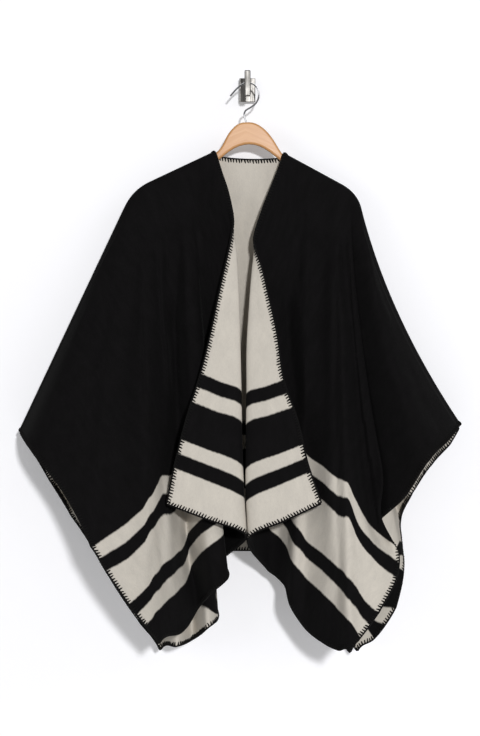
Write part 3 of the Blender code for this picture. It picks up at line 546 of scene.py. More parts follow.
def hollowed(name, grid, cut, behind):
    """The front's grid with its hollows and nudges. A hollow stops 12 mm short of the
    back, and layers in line with each other move together."""
    u, v = cut[..., 0], cut[..., 1]
    out = grid.copy()
    for a, b, ru, rv, dx, dy, dz in NUDGES[name]:
        k = np.exp(-((u - a) / ru) ** 2 - ((v - b) / rv) ** 2)
        out += k[..., None] * np.array((dx, dy, dz)) * 0.01
    x, z = out[..., 0] * 100, out[..., 2] * 100
    wide = np.clip((np.abs(u) - 18.0) / 6.0, 0, 1)
    for line in HOLLOWS[name]:
        at = [-p[0] for p in line]
        down = np.clip(-z, at[0], at[-1])
        mid, half, depth = (ease(at, [p[k] for p in line], down) for k in (1, 2, 3))
        q = (x - mid) / np.maximum(half, 0.3)
        push = 0.01 * wide * depth * np.exp(-np.abs(q) ** 3)
        own = tree_of(out)
        for i, j in np.argwhere(push > 0.0002):
            px, pz = out[i, j, 0], out[i, j, 2]
            hit = behind.ray_cast(Vector((px, -1.0, pz)), Vector((0, 1, 0)))[0]
            if hit is None:
                continue
            last = own.ray_cast(Vector((px, hit.y, pz)), Vector((0, -1, 0)))[0]
            room = max((hit.y - last.y) - 0.012, 0.0005) if last is not None else 0.0005
            push[i, j] = room * (1 - math.exp(-push[i, j] / room))
        out[..., 1] += push
    return out


# How far the bands run off the straight thread where the soft cloth is pulled, in cm, at
# four drops. On a wide front "at" is u less PULL_SLANT times (v - 50), along its folds.
PULL_V = (50.2, 55.6, 63.1, 68.6)
PULL_SLANT = 0.62
PULL_WIDE = {
    "front_left": (
        (20.0, 0.5, 0.6, 1.2, 1.6), (29.0, 0.8, 0.8, 1.3, 1.5), (34.0, 0.8, 0.6, 1.5, 1.5),
        (38.5, 0.6, 0.3, 1.0, 1.0), (43.0, 0.4, 0.1, 0.4, 0.4), (46.8, 0.9, 0.1, 1.1, 0.6),
        (52.0, 1.7, 0.4, 0.5, -0.2), (54.8, 0.6, 0.1, 0.0, -0.8), (57.8, -0.3, -0.5, -0.4, -1.1),
        (61.0, 0.6, 0.5, 0.3, -0.3), (63.2, 0.8, 0.7, 1.2, 0.9), (66.0, 0.4, 0.2, 0.9, 1.0),
        (69.5, 0.0, 0.0, 0.0, 0.0), (76.0, 0.0, 0.0, 0.0, 0.0)),
    "front_right": (
        (20.0, 3.0, 2.4, 1.0, 0.8), (26.0, 3.4, 2.6, 0.8, 0.5), (31.0, 3.9, 3.0, 1.4, 1.1),
        (36.0, 4.2, 3.1, 2.4, 1.7), (40.0, 3.9, 2.8, 2.4, 1.7), (44.0, 3.4, 2.6, 2.0, 1.2),
        (48.0, 2.9, 2.3, 1.6, 0.7), (52.0, 2.4, 1.5, 1.0, -0.2), (55.6, 2.3, 1.2, 0.3, -1.1),
        (57.8, 3.1, 2.1, 0.0, -1.4), (60.0, 2.8, 2.6, 0.5, -1.1), (62.0, 1.7, 2.1, 1.3, -0.4),
        (64.2, 0.8, 1.1, 0.8, 0.0), (67.5, 0.5, 0.3, 0.1, 0.0), (71.0, 0.6, 0.1, 0.0, 0.0),
        (76.0, 0.2, 0.0, 0.0, 0.0))}
PULL_LAPEL = {"front_left": (0.5, 0.4, 0.85, 0.75), "front_right": (0.3, 0.3, 0.65, 0.6)}
# on the back: u, v, reach across, reach along, pull
PULL_BACK = ((-34.5, 73.0, 5.2, 4.2, -6.6), (-43.0, 72.5, 4.2, 3.4, -2.2), (67.6, 53.5, 3.2, 5.5, -5.8))


def pulled(name, cut):
    """The cut with the bands' pull added to v."""
    u, v = cut[..., 0], cut[..., 1]
    if name == "back":
        pull = sum(d * np.exp(-((u - a) / ru) ** 2 - ((v - b) / rv) ** 2) for a, b, ru, rv, d in PULL_BACK)
    else:
        table = PULL_WIDE[name]
        at = np.clip(u - PULL_SLANT * (v - 50.0), table[0][0], table[-1][0])
        rows = [ease([r[0] for r in table], [r[k] for r in table], at) for k in range(1, 5)]
        lapel = np.clip((u - 13.0) / 9.0, 0, 1)
        lapel = lapel * lapel * (3 - 2 * lapel)
        thin = 1 - 0.7 * np.clip((u - 8.0) / 5.0, 0, 1)
        rows = [a * thin * (1 - lapel) + b * lapel for a, b in zip(PULL_LAPEL[name], rows)]
        k = np.clip(np.searchsorted(PULL_V, v) - 1, 0, 2)
        lo, hi = np.array(PULL_V)[k], np.array(PULL_V)[k + 1]
        s = np.clip((v - lo) / (hi - lo), 0, 1)
        stack = np.stack(rows)
        pull = (np.take_along_axis(stack, k[None], 0) * (1 - s) + np.take_along_axis(stack, k[None] + 1, 0) * s)[0]
    fade = np.clip((v - 36.0) / 12.0, 0, 1)
    return np.stack([u, v + pull * fade * fade * (3 - 2 * fade)], -1)


def crease_heights(name, cut):
    """Metres along the outer side at each grid point, and metres straight forward for the
    fronts' deep creases, which would fold over themselves on a steep flank otherwise."""
    u, v = cut[..., 0], cut[..., 1]
    h, forward = np.zeros_like(u), np.zeros_like(u)
    for c in CREASES[name]:
        d = np.array([c.u1 - c.u0, c.v1 - c.v0])
        length = np.hypot(*d)
        d /= length
        s = ((u - c.u0) * d[0] + (v - c.v0) * d[1]) / length
        off = (u - c.u0) * -d[1] + (v - c.v0) * d[0] - c.sway * 4 * np.clip(s, 0, 1) * (1 - np.clip(s, 0, 1))
        along = np.clip(s * c.rise, 0, 1) * np.clip((1 - s) * c.fall, 0, 1)
        along = along * along * (3 - 2 * along)
        width = c.width * (0.75 + 0.6 * np.clip(s, 0, 1))
        q = off / width
        add = c.depth * 0.001 * along * (np.exp(-q * q) - 0.32 * np.exp(-((np.abs(q) - 1.9) ** 2) / 0.8))
        if abs(c.depth) >= DEEP and name != "back":
            forward += add
        else:
            h += add
    return h, forward


def soft_noise(u, v, size, seed):
    """Smooth value noise on the cut; size in cm."""
    grid = np.random.default_rng(seed).uniform(-1, 1, (64, 64))
    a, b = u / size + 31.3, v / size + 17.7
    i, j = np.floor(a).astype(int), np.floor(b).astype(int)
    fa, fb = a - i, b - j
    fa, fb = (f ** 3 * (f * (f * 6 - 15) + 10) for f in (fa, fb))
    g = lambda p, q: grid[p % 64, q % 64]
    return ((g(i, j) * (1 - fa) + g(i + 1, j) * fa) * (1 - fb)
            + (g(i, j + 1) * (1 - fa) + g(i + 1, j + 1) * fa) * fb)


def normals_of(grid, flip):
    """Outer-side unit directions by central differences."""
    du = np.gradient(grid, axis=1)
    dv = np.gradient(grid, axis=0)
    n = np.cross(du, dv) * (1 if flip else -1)
    return n / np.maximum(np.linalg.norm(n, axis=-1, keepdims=True), 1e-12)


# ------------------------------------------------------------------ cloth meshes
class Sheet:
    """One stretch of cloth: a grid of middle points with its cut numbers and normals."""

    def __init__(self, name, grid, cut, flip, seed, fold_rows, behind=None):
        n = normals_of(grid, flip)
        u, v = cut[..., 0], cut[..., 1]
        h, forward = crease_heights(name, cut)
        h = h + 0.0011 * soft_noise(u, v, 5.5, seed) + 0.0007 * soft_noise(u, v, 2.6, seed + 1)
        # a crease dies out round a flank that runs straight back, where it would fold over
        # itself, and where the two fronts' turned edges come close together
        h = h * calm(n, 10 if name == "back" else 4)
        if name != "back":
            near = np.clip((np.abs(grid[..., 0]) - 0.006) / 0.02, 0, 1)
            low = np.clip((-grid[..., 2] - 0.3) / 0.2, 0, 1)
            h = h * (1 - low * (1 - near * near * (3 - 2 * near)))
            grid = grid.copy()
            grid[..., 0] += (0.0014 if name == "front_right" else -0.0014) * low * np.exp(
                -((grid[..., 0] + 0.005) / 0.014) ** 2)
        fade = np.clip((v - 1.0) / 5.0, 0, 1)
        fade = fade * fade * (3 - 2 * fade)
        grid = grid + n * (h * fade)[..., None]
        grid[..., 1] -= forward * fade
        if behind is not None:
            grid = hollowed(name, grid, cut, behind)
        n = normals_of(grid, flip)
        for rows, cols, side, us in fold_rows:
            n[rows, cols] = fold_across(side, us)
        self.name, self.grid, self.cut, self.n, self.flip = name, grid, cut, n, flip
        self.shown = pulled(name, cut)

    def mid_tree(self):
        return tree_of(self.grid)


def build_cloth(sheet, name, materials, open_edges, bake_box):
    """Two faces of quads, and a rounded rim round the whole grid border. open_edges are
    the runs of the border that lie on the shoulder fold, where the next stretch goes on;
    they are closed flat."""
    g, n, cut = sheet.grid, sheet.n, sheet.cut
    r, c = g.shape[:2]
    outer = g + n * HALF_WALL
    inner = g - n * HALF_WALL
    idx = np.arange(r * c).reshape(r, c)
    quads = np.stack([idx[:-1, :-1], idx[1:, :-1], idx[1:, 1:], idx[:-1, 1:]], -1).reshape(-1, 4)
    if sheet.flip:
        outer_faces, inner_faces = quads[:, ::-1], quads + r * c
    else:
        outer_faces, inner_faces = quads, quads[:, ::-1] + r * c
    # border loop
    loop = ([(0, j) for j in range(c)] + [(i, c - 1) for i in range(1, r)]
            + [(r - 1, j) for j in range(c - 2, -1, -1)] + [(i, 0) for i in range(r - 2, 0, -1)])
    loop = np.array(loop)
    lp, ln = g[loop[:, 0], loop[:, 1]], n[loop[:, 0], loop[:, 1]]
    tan = np.roll(lp, -1, 0) - np.roll(lp, 1, 0)
    tan /= np.maximum(np.linalg.norm(tan, axis=1, keepdims=True), 1e-9)
    away = np.cross(tan, ln)
    # inward is towards the grid's second ring
    ri = np.clip(loop[:, 0], 1, r - 2)
    ci = np.clip(loop[:, 1], 1, c - 2)
    inward = g[ri, ci] - lp
    away *= np.where((away * inward).sum(1, keepdims=True) > 0, -1.0, 1.0)
    flat = np.array([any(a(i, j) for a in open_edges) for i, j in loop])
    swell = np.where(flat, 0.0, HALF_WALL * 0.75)[:, None]
    lift = np.where(flat, 0.33, 0.6)[:, None] * HALF_WALL
    rim_a = lp + away * swell + ln * lift
    rim_b = lp + away * swell - ln * lift
    base = 2 * r * c
    m = len(loop)
    verts = np.concatenate([outer.reshape(-1, 3), inner.reshape(-1, 3), rim_a, rim_b])
    norms = np.concatenate([n.reshape(-1, 3), -n.reshape(-1, 3), away + ln * 0.5, away - ln * 0.5])
    k = np.arange(m)
    k2 = (k + 1) % m
    o = idx[loop[:, 0], loop[:, 1]]
    rings = [o, base + k, base + m + k, o + r * c]
    strips = []
    for a, b in zip(rings, rings[1:]):
        f = np.stack([a[k], b[k], b[k2], a[k2]], -1)
        strips.append(f if not sheet.flip else f[:, ::-1])
    faces = np.concatenate([outer_faces, inner_faces] + strips)
    mat = np.concatenate([np.zeros(len(outer_faces)), np.ones(len(inner_faces)),
                          np.zeros(m), np.zeros(m), np.ones(m)]).astype(int)
    me = bpy.data.meshes.new(name)
    me.from_pydata(verts.tolist(), [], faces.tolist())
    me.polygons.foreach_set("material_index", mat)
    me.polygons.foreach_set("use_smooth", np.ones(len(faces), bool))
    # the cut as a map: u and v of a 1.5 m square
    shown = sheet.shown
    uv_all = np.concatenate([shown.reshape(-1, 2), shown.reshape(-1, 2),
                             shown[loop[:, 0], loop[:, 1]], shown[loop[:, 0], loop[:, 1]]])
    lv = np.empty(len(me.loops), int)
    me.loops.foreach_get("vertex_index", lv)
    layer = me.uv_layers.new(name="cut")
    layer.uv.foreach_set("vector", ((uv_all[lv] + 75.0) / 150.0).astype(np.float32).ravel())
    # a second map with each face of the cloth in a place of its own
    uv_all = np.concatenate([cut.reshape(-1, 2), cut.reshape(-1, 2),
                             cut[loop[:, 0], loop[:, 1]], cut[loop[:, 0], loop[:, 1]]])
    lo, hi = np.array([cut[..., 0].min(), 0.0]), np.array([cut[..., 0].max(), 75.0])
    unit = (uv_all - lo) / (hi - lo)
    for which in (0, 1):
        (x0, y0), (x1, y1) = bake_box[which]
        part = np.array([x0, y0]) + unit * (np.array([x1, y1]) - np.array([x0, y0]))
        if which == 0:
            places = part
        else:
            loop_mat = np.repeat(mat, 4)
            places = np.where((loop_mat == 1)[:, None], part[lv], places[lv])
    layer = me.uv_layers.new(name="OFBake")
    layer.uv.foreach_set("vector", places.astype(np.float32).ravel())
    me.uv_layers.active = me.uv_layers["cut"]
    norms /= np.maximum(np.linalg.norm(norms, axis=1, keepdims=True), 1e-9)
    me.normals_split_custom_set_from_vertices(norms.tolist())
    me.update()
    for mtl in materials:
        me.materials.append(mtl)
    ob = bpy.data.objects.new(name, me)
    bpy.context.collection.objects.link(ob)
    return ob


# ------------------------------------------------------------------ node helpers
def new_material(name):
    m = bpy.data.materials.new(name)
    m.use_nodes = True
    return m, m.node_tree, m.node_tree.nodes["Principled BSDF"]


def node(tree, kind, **values):
    n = tree.nodes.new(kind)
    for k, v in values.items():
        setattr(n, k, v)
    return n


def math_node(tree, op, a, b=None, clamp=False):
    n = node(tree, "ShaderNodeMath", operation=op, use_clamp=clamp)
    for i, x in enumerate((a, b)):
        if x is None:
            continue
        if isinstance(x, (int, float)):
            n.inputs[i].default_value = x
        else:
            tree.links.new(x, n.inputs[i])
    return n.outputs[0]


def noise_node(tree, vector, scale, detail=3.0, rough=0.55, lacunarity=2.0, distortion=0.0):
    n = node(tree, "ShaderNodeTexNoise")
    n.inputs["Scale"].default_value = scale
    n.inputs["Detail"].default_value = detail
    n.inputs["Roughness"].default_value = rough
    n.inputs["Lacunarity"].default_value = lacunarity
    n.inputs["Distortion"].default_value = distortion
    tree.links.new(vector, n.inputs["Vector"])
    return n.outputs["Fac"]


def mapping(tree, vector, scale=(1, 1, 1), rot=(0, 0, 0), loc=(0, 0, 0)):
    n = node(tree, "ShaderNodeMapping")
    n.inputs["Scale"].default_value = scale
    n.inputs["Rotation"].default_value = rot
    n.inputs["Location"].default_value = loc
    tree.links.new(vector, n.inputs["Vector"])
    return n.outputs["Vector"]


def map_range(tree, value, a, b, c, d, smooth=False):
    n = node(tree, "ShaderNodeMapRange")
    n.interpolation_type = "SMOOTHSTEP" if smooth else "LINEAR"
    for i, x in zip((1, 2, 3, 4), (a, b, c, d)):
        n.inputs[i].default_value = x
    tree.links.new(value, n.inputs[0])
    return n.outputs[0]


def mix_colour(tree, fac, a, b, blend="MIX"):
    n = node(tree, "ShaderNodeMix", data_type="RGBA", blend_type=blend)
    for sock, x in ((n.inputs[0], fac), (n.inputs[6], a), (n.inputs[7], b)):
        if isinstance(x, (int, float)):
            sock.default_value = x
        elif isinstance(x, tuple):
            sock.default_value = (*x, 1.0) if len(x) == 3 else x
        else:
            tree.links.new(x, sock)
    return n.outputs[2]


# ------------------------------------------------------------------ wool
BANDS = ((50.2, 52.9), (55.6, 63.1), (65.8, 68.6))     # cm from the shoulder fold
CREAM = (0.600, 0.562, 0.505)
BLACK = (0.0047, 0.0044, 0.0046)


def wool(name, field, band, seed):
    """Brushed double-faced wool: one colour with woven bands of the other near the hem."""
    m, t, b = new_material(name)
    uv = node(t, "ShaderNodeUVMap", uv_map="cut").outputs["UV"]
    cm = mapping(t, uv, scale=(150, 150, 1), loc=(-75, -75, seed))
    sep = node(t, "ShaderNodeSeparateXYZ")
    t.links.new(cm, sep.inputs[0])
    v = math_node(t, "ABSOLUTE", sep.outputs["Y"])
    # the woven edge of a band wanders by half a millimetre
    wander = noise_node(t, mapping(t, cm, scale=(1.6, 0.6, 1)), 1.0, 2.0)
    ragged = noise_node(t, cm, 9.0, 2.0)
    v = math_node(t, "ADD", v, map_range(t, wander, 0, 1, -0.12, 0.12))
    v = math_node(t, "ADD", v, map_range(t, ragged, 0, 1, -0.09, 0.09))
    ramp = node(t, "ShaderNodeValToRGB")
    ramp.color_ramp.interpolation = "LINEAR"
    el = ramp.color_ramp.elements
    el[0].position, el[0].color = 0.0, (0, 0, 0, 1)
    el[1].position, el[1].color = 1.0, (0, 0, 0, 1)
    soft = 0.035
    for a, z in BANDS:
        for p, c in ((a - soft, 0), (a + soft, 1), (z - soft, 1), (z + soft, 0)):
            e = el.new(p / 75.0)
            e.color = (c, c, c, 1)
    t.links.new(math_node(t, "DIVIDE", v, 75.0), ramp.inputs[0])
    mask = ramp.outputs[0]
    # colours: cloudy felting, and fibres along the drop
    cloud = noise_node(t, mapping(t, cm, scale=(0.55, 0.22, 1)), 1.0, 5.0, 0.65)
    fibre = noise_node(t, mapping(t, cm, scale=(7.0, 1.7, 1)), 1.0, 5.0, 0.7, distortion=0.6)
    speck = noise_node(t, mapping(t, cm, scale=(13.0, 13.0, 1)), 1.0, 2.0, 0.6)

    def shade(base, low, high, warm):
        dark = tuple(c * low for c in base)
        light = tuple(min(1.0, c * high * w) for c, w in zip(base, warm))
        one = mix_colour(t, map_range(t, fibre, 0.3, 0.7, 0, 1), dark, light)
        two = mix_colour(t, map_range(t, cloud, 0.3, 0.7, 0, 1), dark, light)
        return mix_colour(t, 0.5, one, two)

    cols = {}
    cols["black"] = shade(BLACK, 0.62, 1.42, (1.0, 0.98, 1.02))
    cols["cream"] = shade(CREAM, 0.87, 1.10, (1.0, 0.995, 0.98))
    cols["cream"] = mix_colour(t, map_range(t, speck, 0.56, 0.74, 0, 0.42), cols["cream"],
                               (0.40, 0.37, 0.33))
    colour = mix_colour(t, mask, cols[field], cols[band])
    t.links.new(colour, b.inputs["Base Color"])
    t.links.new(map_range(t, fibre, 0.2, 0.8, 0.86, 0.97), b.inputs["Roughness"])
    b.inputs["Specular IOR Level"].default_value = 0.07
    b.inputs["Sheen Weight"].default_value = 0.012
    b.inputs["Sheen Roughness"].default_value = 0.45
    # nap: fibres, a faint twill below them, and lumps
    weave = node(t, "ShaderNodeTexWave", wave_type="BANDS", bands_direction="X")
    weave.inputs["Scale"].default_value = 1.55
    weave.inputs["Distortion"].default_value = 1.2
    weave.inputs["Detail"].default_value = 1.0
    t.links.new(mapping(t, cm, scale=(1, 1, 1), rot=(0, 0, 0.25)), weave.inputs["Vector"])
    lumps = noise_node(t, cm, 1.1, 3.0, 0.6)
    height = math_node(t, "ADD", math_node(t, "MULTIPLY", fibre, 0.55),
                       math_node(t, "MULTIPLY", weave.outputs["Fac"], 0.10))
    height = math_node(t, "ADD", height, math_node(t, "MULTIPLY", speck, 0.30))
    height = math_node(t, "ADD", height, math_node(t, "MULTIPLY", lumps, 0.9))
    bump = node(t, "ShaderNodeBump")
    bump.inputs["Strength"].default_value = 0.55
    bump.inputs["Distance"].default_value = 0.0011
    t.links.new(height, bump.inputs["Height"])
    t.links.new(bump.outputs["Normal"], b.inputs["Normal"])
    return m


WOOL_OUT = wool("wool_outer_black", "black", "cream", 0.0)
WOOL_IN = wool("wool_inner_cream", "cream", "black", 7.0)


def yarn_material():
    m, t, b = new_material("edge_yarn_black")
    co = node(t, "ShaderNodeTexCoord").outputs["Object"]
    n = noise_node(t, co, 900.0, 2.0)
    big = noise_node(t, co, 60.0, 2.0)
    c = mix_colour(t, map_range(t, n, 0.3, 0.7, 0, 1), (0.003, 0.003, 0.003), (0.008, 0.0075, 0.0075))
    c = mix_colour(t, map_range(t, big, 0.3, 0.7, 0, 0.4), c, (0.010, 0.0095, 0.0095))
    t.links.new(c, b.inputs["Base Color"])
    t.links.new(map_range(t, n, 0.2, 0.8, 0.75, 0.95), b.inputs["Roughness"])
    b.inputs["Specular IOR Level"].default_value = 0.08
    b.inputs["Sheen Weight"].default_value = 0.01
    bump = node(t, "ShaderNodeBump")
    bump.inputs["Strength"].default_value = 0.5
    bump.inputs["Distance"].default_value = 0.0004
    t.links.new(n, bump.inputs["Height"])
    t.links.new(bump.outputs["Normal"], b.inputs["Normal"])
    return m


YARN = yarn_material()

# ------------------------------------------------------------------ the three stretches
FOLD_US = FOLD_TOP + (HALF_WIDTH - FOLD_TOP) * ROWS


def make_front(side, turns, ribs, name):
    grid, cut = front_grid(side, turns, ribs)
    r, c = grid.shape[:2]
    rows0 = cut[0, :, 0]
    return Sheet(name, grid, cut, side == "left", 11 if side == "left" else 23,
                 [(slice(0, 1), slice(0, c), side, rows0), (slice(0, r), slice(c - 1, c), side, FOLD_US[:, None])],
                 sheet_b.mid_tree())


bgrid, bcut, neck_l, neck_r = back_grid()
bc = bgrid.shape[1]
sheet_b = Sheet("back", bgrid, bcut, True, 37, [
    (slice(0, 1), slice(0, neck_l + 1), "left", -bcut[0, :neck_l + 1, 0]),
    (slice(0, 1), slice(neck_r, bc), "right", bcut[0, neck_r:, 0]),
    (slice(0, len(ROWS)), slice(0, 1), "left", FOLD_US[:, None]),
    (slice(0, len(ROWS)), slice(bc - 1, bc), "right", FOLD_US[:, None])])
sheet_l = make_front("left", TURN_LEFT, FRONT_LEFT, "front_left")
sheet_r = make_front("right", TURN_RIGHT, FRONT_RIGHT, "front_right")
print("normals", [float((s.n[60, 60] * np.array([0, 1, 0])).sum()) for s in (sheet_l, sheet_r, sheet_b)])

HALF_BOXES = (((0.006, 0.01), (0.492, 0.99)), ((0.508, 0.01), (0.994, 0.99)))
BACK_BOXES = (((0.01, 0.006), (0.99, 0.492)), ((0.01, 0.508), (0.99, 0.994)))


def front_fold(c):
    return [lambda i, j: i == 0, lambda i, j, c=c: j == c - 1]


wrap_l = build_cloth(sheet_l, "wrap_front_left", (WOOL_OUT, WOOL_IN), front_fold(sheet_l.grid.shape[1]), HALF_BOXES)
wrap_r = build_cloth(sheet_r, "wrap_front_right", (WOOL_OUT, WOOL_IN), front_fold(sheet_r.grid.shape[1]), HALF_BOXES)
wrap_b = build_cloth(sheet_b, "wrap_back", (WOOL_OUT, WOOL_IN), [
    lambda i, j: i == 0 and (j <= neck_l or j >= neck_r), lambda i, j: j == 0, lambda i, j: j == bc - 1],
    BACK_BOXES)


# ------------------------------------------------------------------ edge stitching
STITCH_GAP = 0.0054
STITCH_IN = 0.0061
YARN_R = 0.00115


def tubes(paths, refs, radius, sides=5):
    """Closed tubes along paths (S, K, 3); refs (S, 3) is a direction across each path."""
    s, k = paths.shape[:2]
    tan = np.gradient(paths, axis=1)
    tan /= np.maximum(np.linalg.norm(tan, axis=2, keepdims=True), 1e-12)
    ref = np.broadcast_to(refs[:, None] if refs.ndim == 2 else refs, paths.shape)
    up = np.cross(tan, ref)
    up /= np.maximum(np.linalg.norm(up, axis=2, keepdims=True), 1e-12)
    side = np.cross(up, tan)
    a = np.arange(sides) * 2 * math.pi / sides
    rad = np.broadcast_to(np.asarray(radius, float), (s, k))[..., None, None]
    ring = (paths[:, :, None] + rad * (np.cos(a)[None, None, :, None] * up[:, :, None]
                                       + np.sin(a)[None, None, :, None] * side[:, :, None]))
    verts = ring.reshape(-1, 3)
    base = (np.arange(s)[:, None, None] * k + np.arange(k - 1)[None, :, None]) * sides
    j = np.arange(sides)[None, None]
    j2 = (j + 1) % sides
    quads = np.stack([base + j, base + j2, base + sides + j2, base + sides + j], -1).reshape(-1, 4)
    caps = []
    first = np.arange(s)[:, None] * k * sides + np.arange(sides)[None]
    caps.append(first[:, ::-1])
    caps.append(first + (k - 1) * sides)
    return verts, quads.tolist() + np.concatenate(caps).tolist()


def resample(line, extra, gap):
    """Points along a polyline every gap metres, with the other columns interpolated."""
    d = np.r_[0, np.cumsum(np.linalg.norm(np.diff(line, axis=0), axis=1))]
    n = max(2, int(round(d[-1] / gap)) + 1)
    at = np.linspace(0, d[-1], n)
    both = np.concatenate([line, extra], 1)
    return np.stack([np.interp(at, d, both[:, i]) for i in range(both.shape[1])], 1), d[-1]


def stitch(sheet, runs, name, seed):
    """Yarn over the edge along each run of border points (rows, columns)."""
    tree = sheet.mid_tree()
    rng = np.random.default_rng(seed)
    all_v, all_f = [], []

    def add(verts, faces):
        off = sum(len(v) for v in all_v)
        all_v.append(verts)
        all_f.extend([[i + off for i in f] for f in faces])

    for rows, cols in runs:
        p, n = sheet.grid[rows, cols], sheet.n[rows, cols]
        r, c = sheet.grid.shape[:2]
        inner = sheet.grid[np.clip(rows, 1, r - 2), np.clip(cols, 1, c - 2)]
        pts, length = resample(p, np.concatenate([n, inner], 1), STITCH_GAP / 4)
        pos, nor, inn = pts[:, :3], pts[:, 3:6], pts[:, 6:9]
        nor /= np.linalg.norm(nor, axis=1, keepdims=True)
        tan = np.gradient(pos, axis=0)
        tan /= np.linalg.norm(tan, axis=1, keepdims=True)
        inward = np.cross(nor, tan)
        inward *= np.where((inward * (inn - pos)).sum(1, keepdims=True) < 0, -1.0, 1.0)
        inward /= np.linalg.norm(inward, axis=1, keepdims=True)
        # the yarn that runs along the edge
        edge = pos - inward * HALF_WALL * 0.7
        edge = edge + nor * (0.00022 * np.sin(np.arange(len(edge)) * math.pi / 2))[:, None]
        v, f = tubes(edge[None, ::2], nor[None, ::2], YARN_R * 1.65, 6)
        add(v, f)
        # the legs
        k = np.arange(2, len(pos) - 1, 4)
        at, tn, nn, iw = pos[k], tan[k], nor[k], inward[k]
        reach = STITCH_IN * (1 + 0.10 * rng.standard_normal(len(k)).clip(-2, 2))
        lean = 0.0002 + 0.0008 * rng.standard_normal(len(k)).clip(-2, 2)
        h = HALF_WALL
        shape = [(1.00, 0.25), (0.93, 1.05), (0.55, 1.42), (0.12, 1.38), (-0.16, 0.75),
                 (-0.16, -0.75), (0.12, -1.38), (0.55, -1.42), (0.93, -1.05), (1.00, -0.25)]
        path = np.empty((len(k), len(shape), 3))
        for a in range(len(k)):
            for b, (d, z) in enumerate(shape):
                base = at[a] + iw[a] * reach[a] * d + tn[a] * (lean[a] * d + (0.0013 if z < 0 else -0.0013) * max(d, 0))
                normal = nn[a]
                if d > 0.3:
                    loc, found, _, dist = tree.find_nearest(Vector(base), 0.004)
                    if loc is not None:
                        found = np.array(found)
                        if (found * nn[a]).sum() < 0:
                            found = -found
                        base, normal = np.array(loc), found
                path[a, b] = base + normal * z * h
        # thicker over the edge, where the loops gather, and thin where the leg goes in
        swell = np.array([0.66, 0.84, 1.20, 1.50, 1.50, 1.50, 1.50, 1.20, 0.84, 0.66]) * YARN_R
        v, f = tubes(path, tn, np.tile(swell, (len(k), 1)) * rng.uniform(0.86, 1.12, (len(k), 1)), 5)
        add(v, f)
    me = bpy.data.meshes.new(name)
    me.from_pydata(np.concatenate(all_v).tolist(), [], all_f)
    me.polygons.foreach_set("use_smooth", np.ones(len(me.polygons), bool))
    me.materials.append(YARN)
    me.update()
    ob = bpy.data.objects.new(name, me)
    bpy.context.collection.objects.link(ob)
    return ob


def run(cells):
    cells = np.array(cells)
    return cells[:, 0], cells[:, 1]


R = len(ROWS)
stitch_l = stitch(sheet_l, [run([(i, 0) for i in range(R)]),
                            run([(R - 1, j) for j in range(sheet_l.grid.shape[1])])], "edge_yarn_front_left", 3)
stitch_r = stitch(sheet_r, [run([(i, 0) for i in range(R)]),
                            run([(R - 1, j) for j in range(sheet_r.grid.shape[1])])], "edge_yarn_front_right", 4)
stitch_b = stitch(sheet_b, [run([(R - 1, j) for j in range(bc)]),
                            run([(0, j) for j in range(neck_l, neck_r + 1)])], "edge_yarn_back", 5)

for ob, near, slot, nodes in ((wrap_l, stitch_l, "cloth_front_left", "cloth_front_left"),
                              (wrap_r, stitch_r, "cloth_front_right", "cloth_front_right"),
                              (wrap_b, stitch_b, "cloth_back", "cloth_back")):
    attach(ob, "root")
    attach(near, "root")
    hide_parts(nodes)


# ------------------------------------------------------------------ hanger and wall hook
def wood_material():
    m, t, b = new_material("light_lacquered_wood")
    co = node(t, "ShaderNodeTexCoord").outputs["Object"]
    sep = node(t, "ShaderNodeSeparateXYZ")
    t.links.new(co, sep.inputs[0])
    # the grain follows the arms' slope on both sides
    lift = math_node(t, "MULTIPLY", math_node(t, "ABSOLUTE", math_node(t, "SUBTRACT", sep.outputs["X"], -0.003)), 0.40)
    z = math_node(t, "ADD", sep.outputs["Z"], lift)
    comb = node(t, "ShaderNodeCombineXYZ")
    t.links.new(math_node(t, "MULTIPLY", sep.outputs["X"], 9.0), comb.inputs[0])
    t.links.new(math_node(t, "MULTIPLY", sep.outputs["Y"], 60.0), comb.inputs[1])
    t.links.new(math_node(t, "MULTIPLY", z, 95.0), comb.inputs[2])
    grain = noise_node(t, comb.outputs[0], 1.0, 5.0, 0.6, distortion=0.8)
    fine = noise_node(t, mapping(t, comb.outputs[0], scale=(2, 8, 9)), 1.0, 3.0, 0.7)
    ramp = node(t, "ShaderNodeValToRGB")
    el = ramp.color_ramp.elements
    el[0].position, el[0].color = 0.2, (0.53, 0.245, 0.085, 1)
    el[1].position, el[1].color = 0.8, (0.68, 0.375, 0.160, 1)
    e = el.new(0.52)
    e.color = (0.61, 0.310, 0.122, 1)
    t.links.new(grain, ramp.inputs[0])
    c = mix_colour(t, map_range(t, fine, 0.45, 0.75, 0, 0.22), ramp.outputs[0], (0.50, 0.26, 0.11))
    t.links.new(c, b.inputs["Base Color"])
    t.links.new(map_range(t, fine, 0.2, 0.8, 0.30, 0.46), b.inputs["Roughness"])
    b.inputs["Coat Weight"].default_value = 0.15
    b.inputs["Coat Roughness"].default_value = 0.18
    bump = node(t, "ShaderNodeBump")
    bump.inputs["Strength"].default_value = 0.18
    bump.inputs["Distance"].default_value = 0.0004
    t.links.new(fine, bump.inputs["Height"])
    t.links.new(bump.outputs["Normal"], b.inputs["Normal"])
    return m


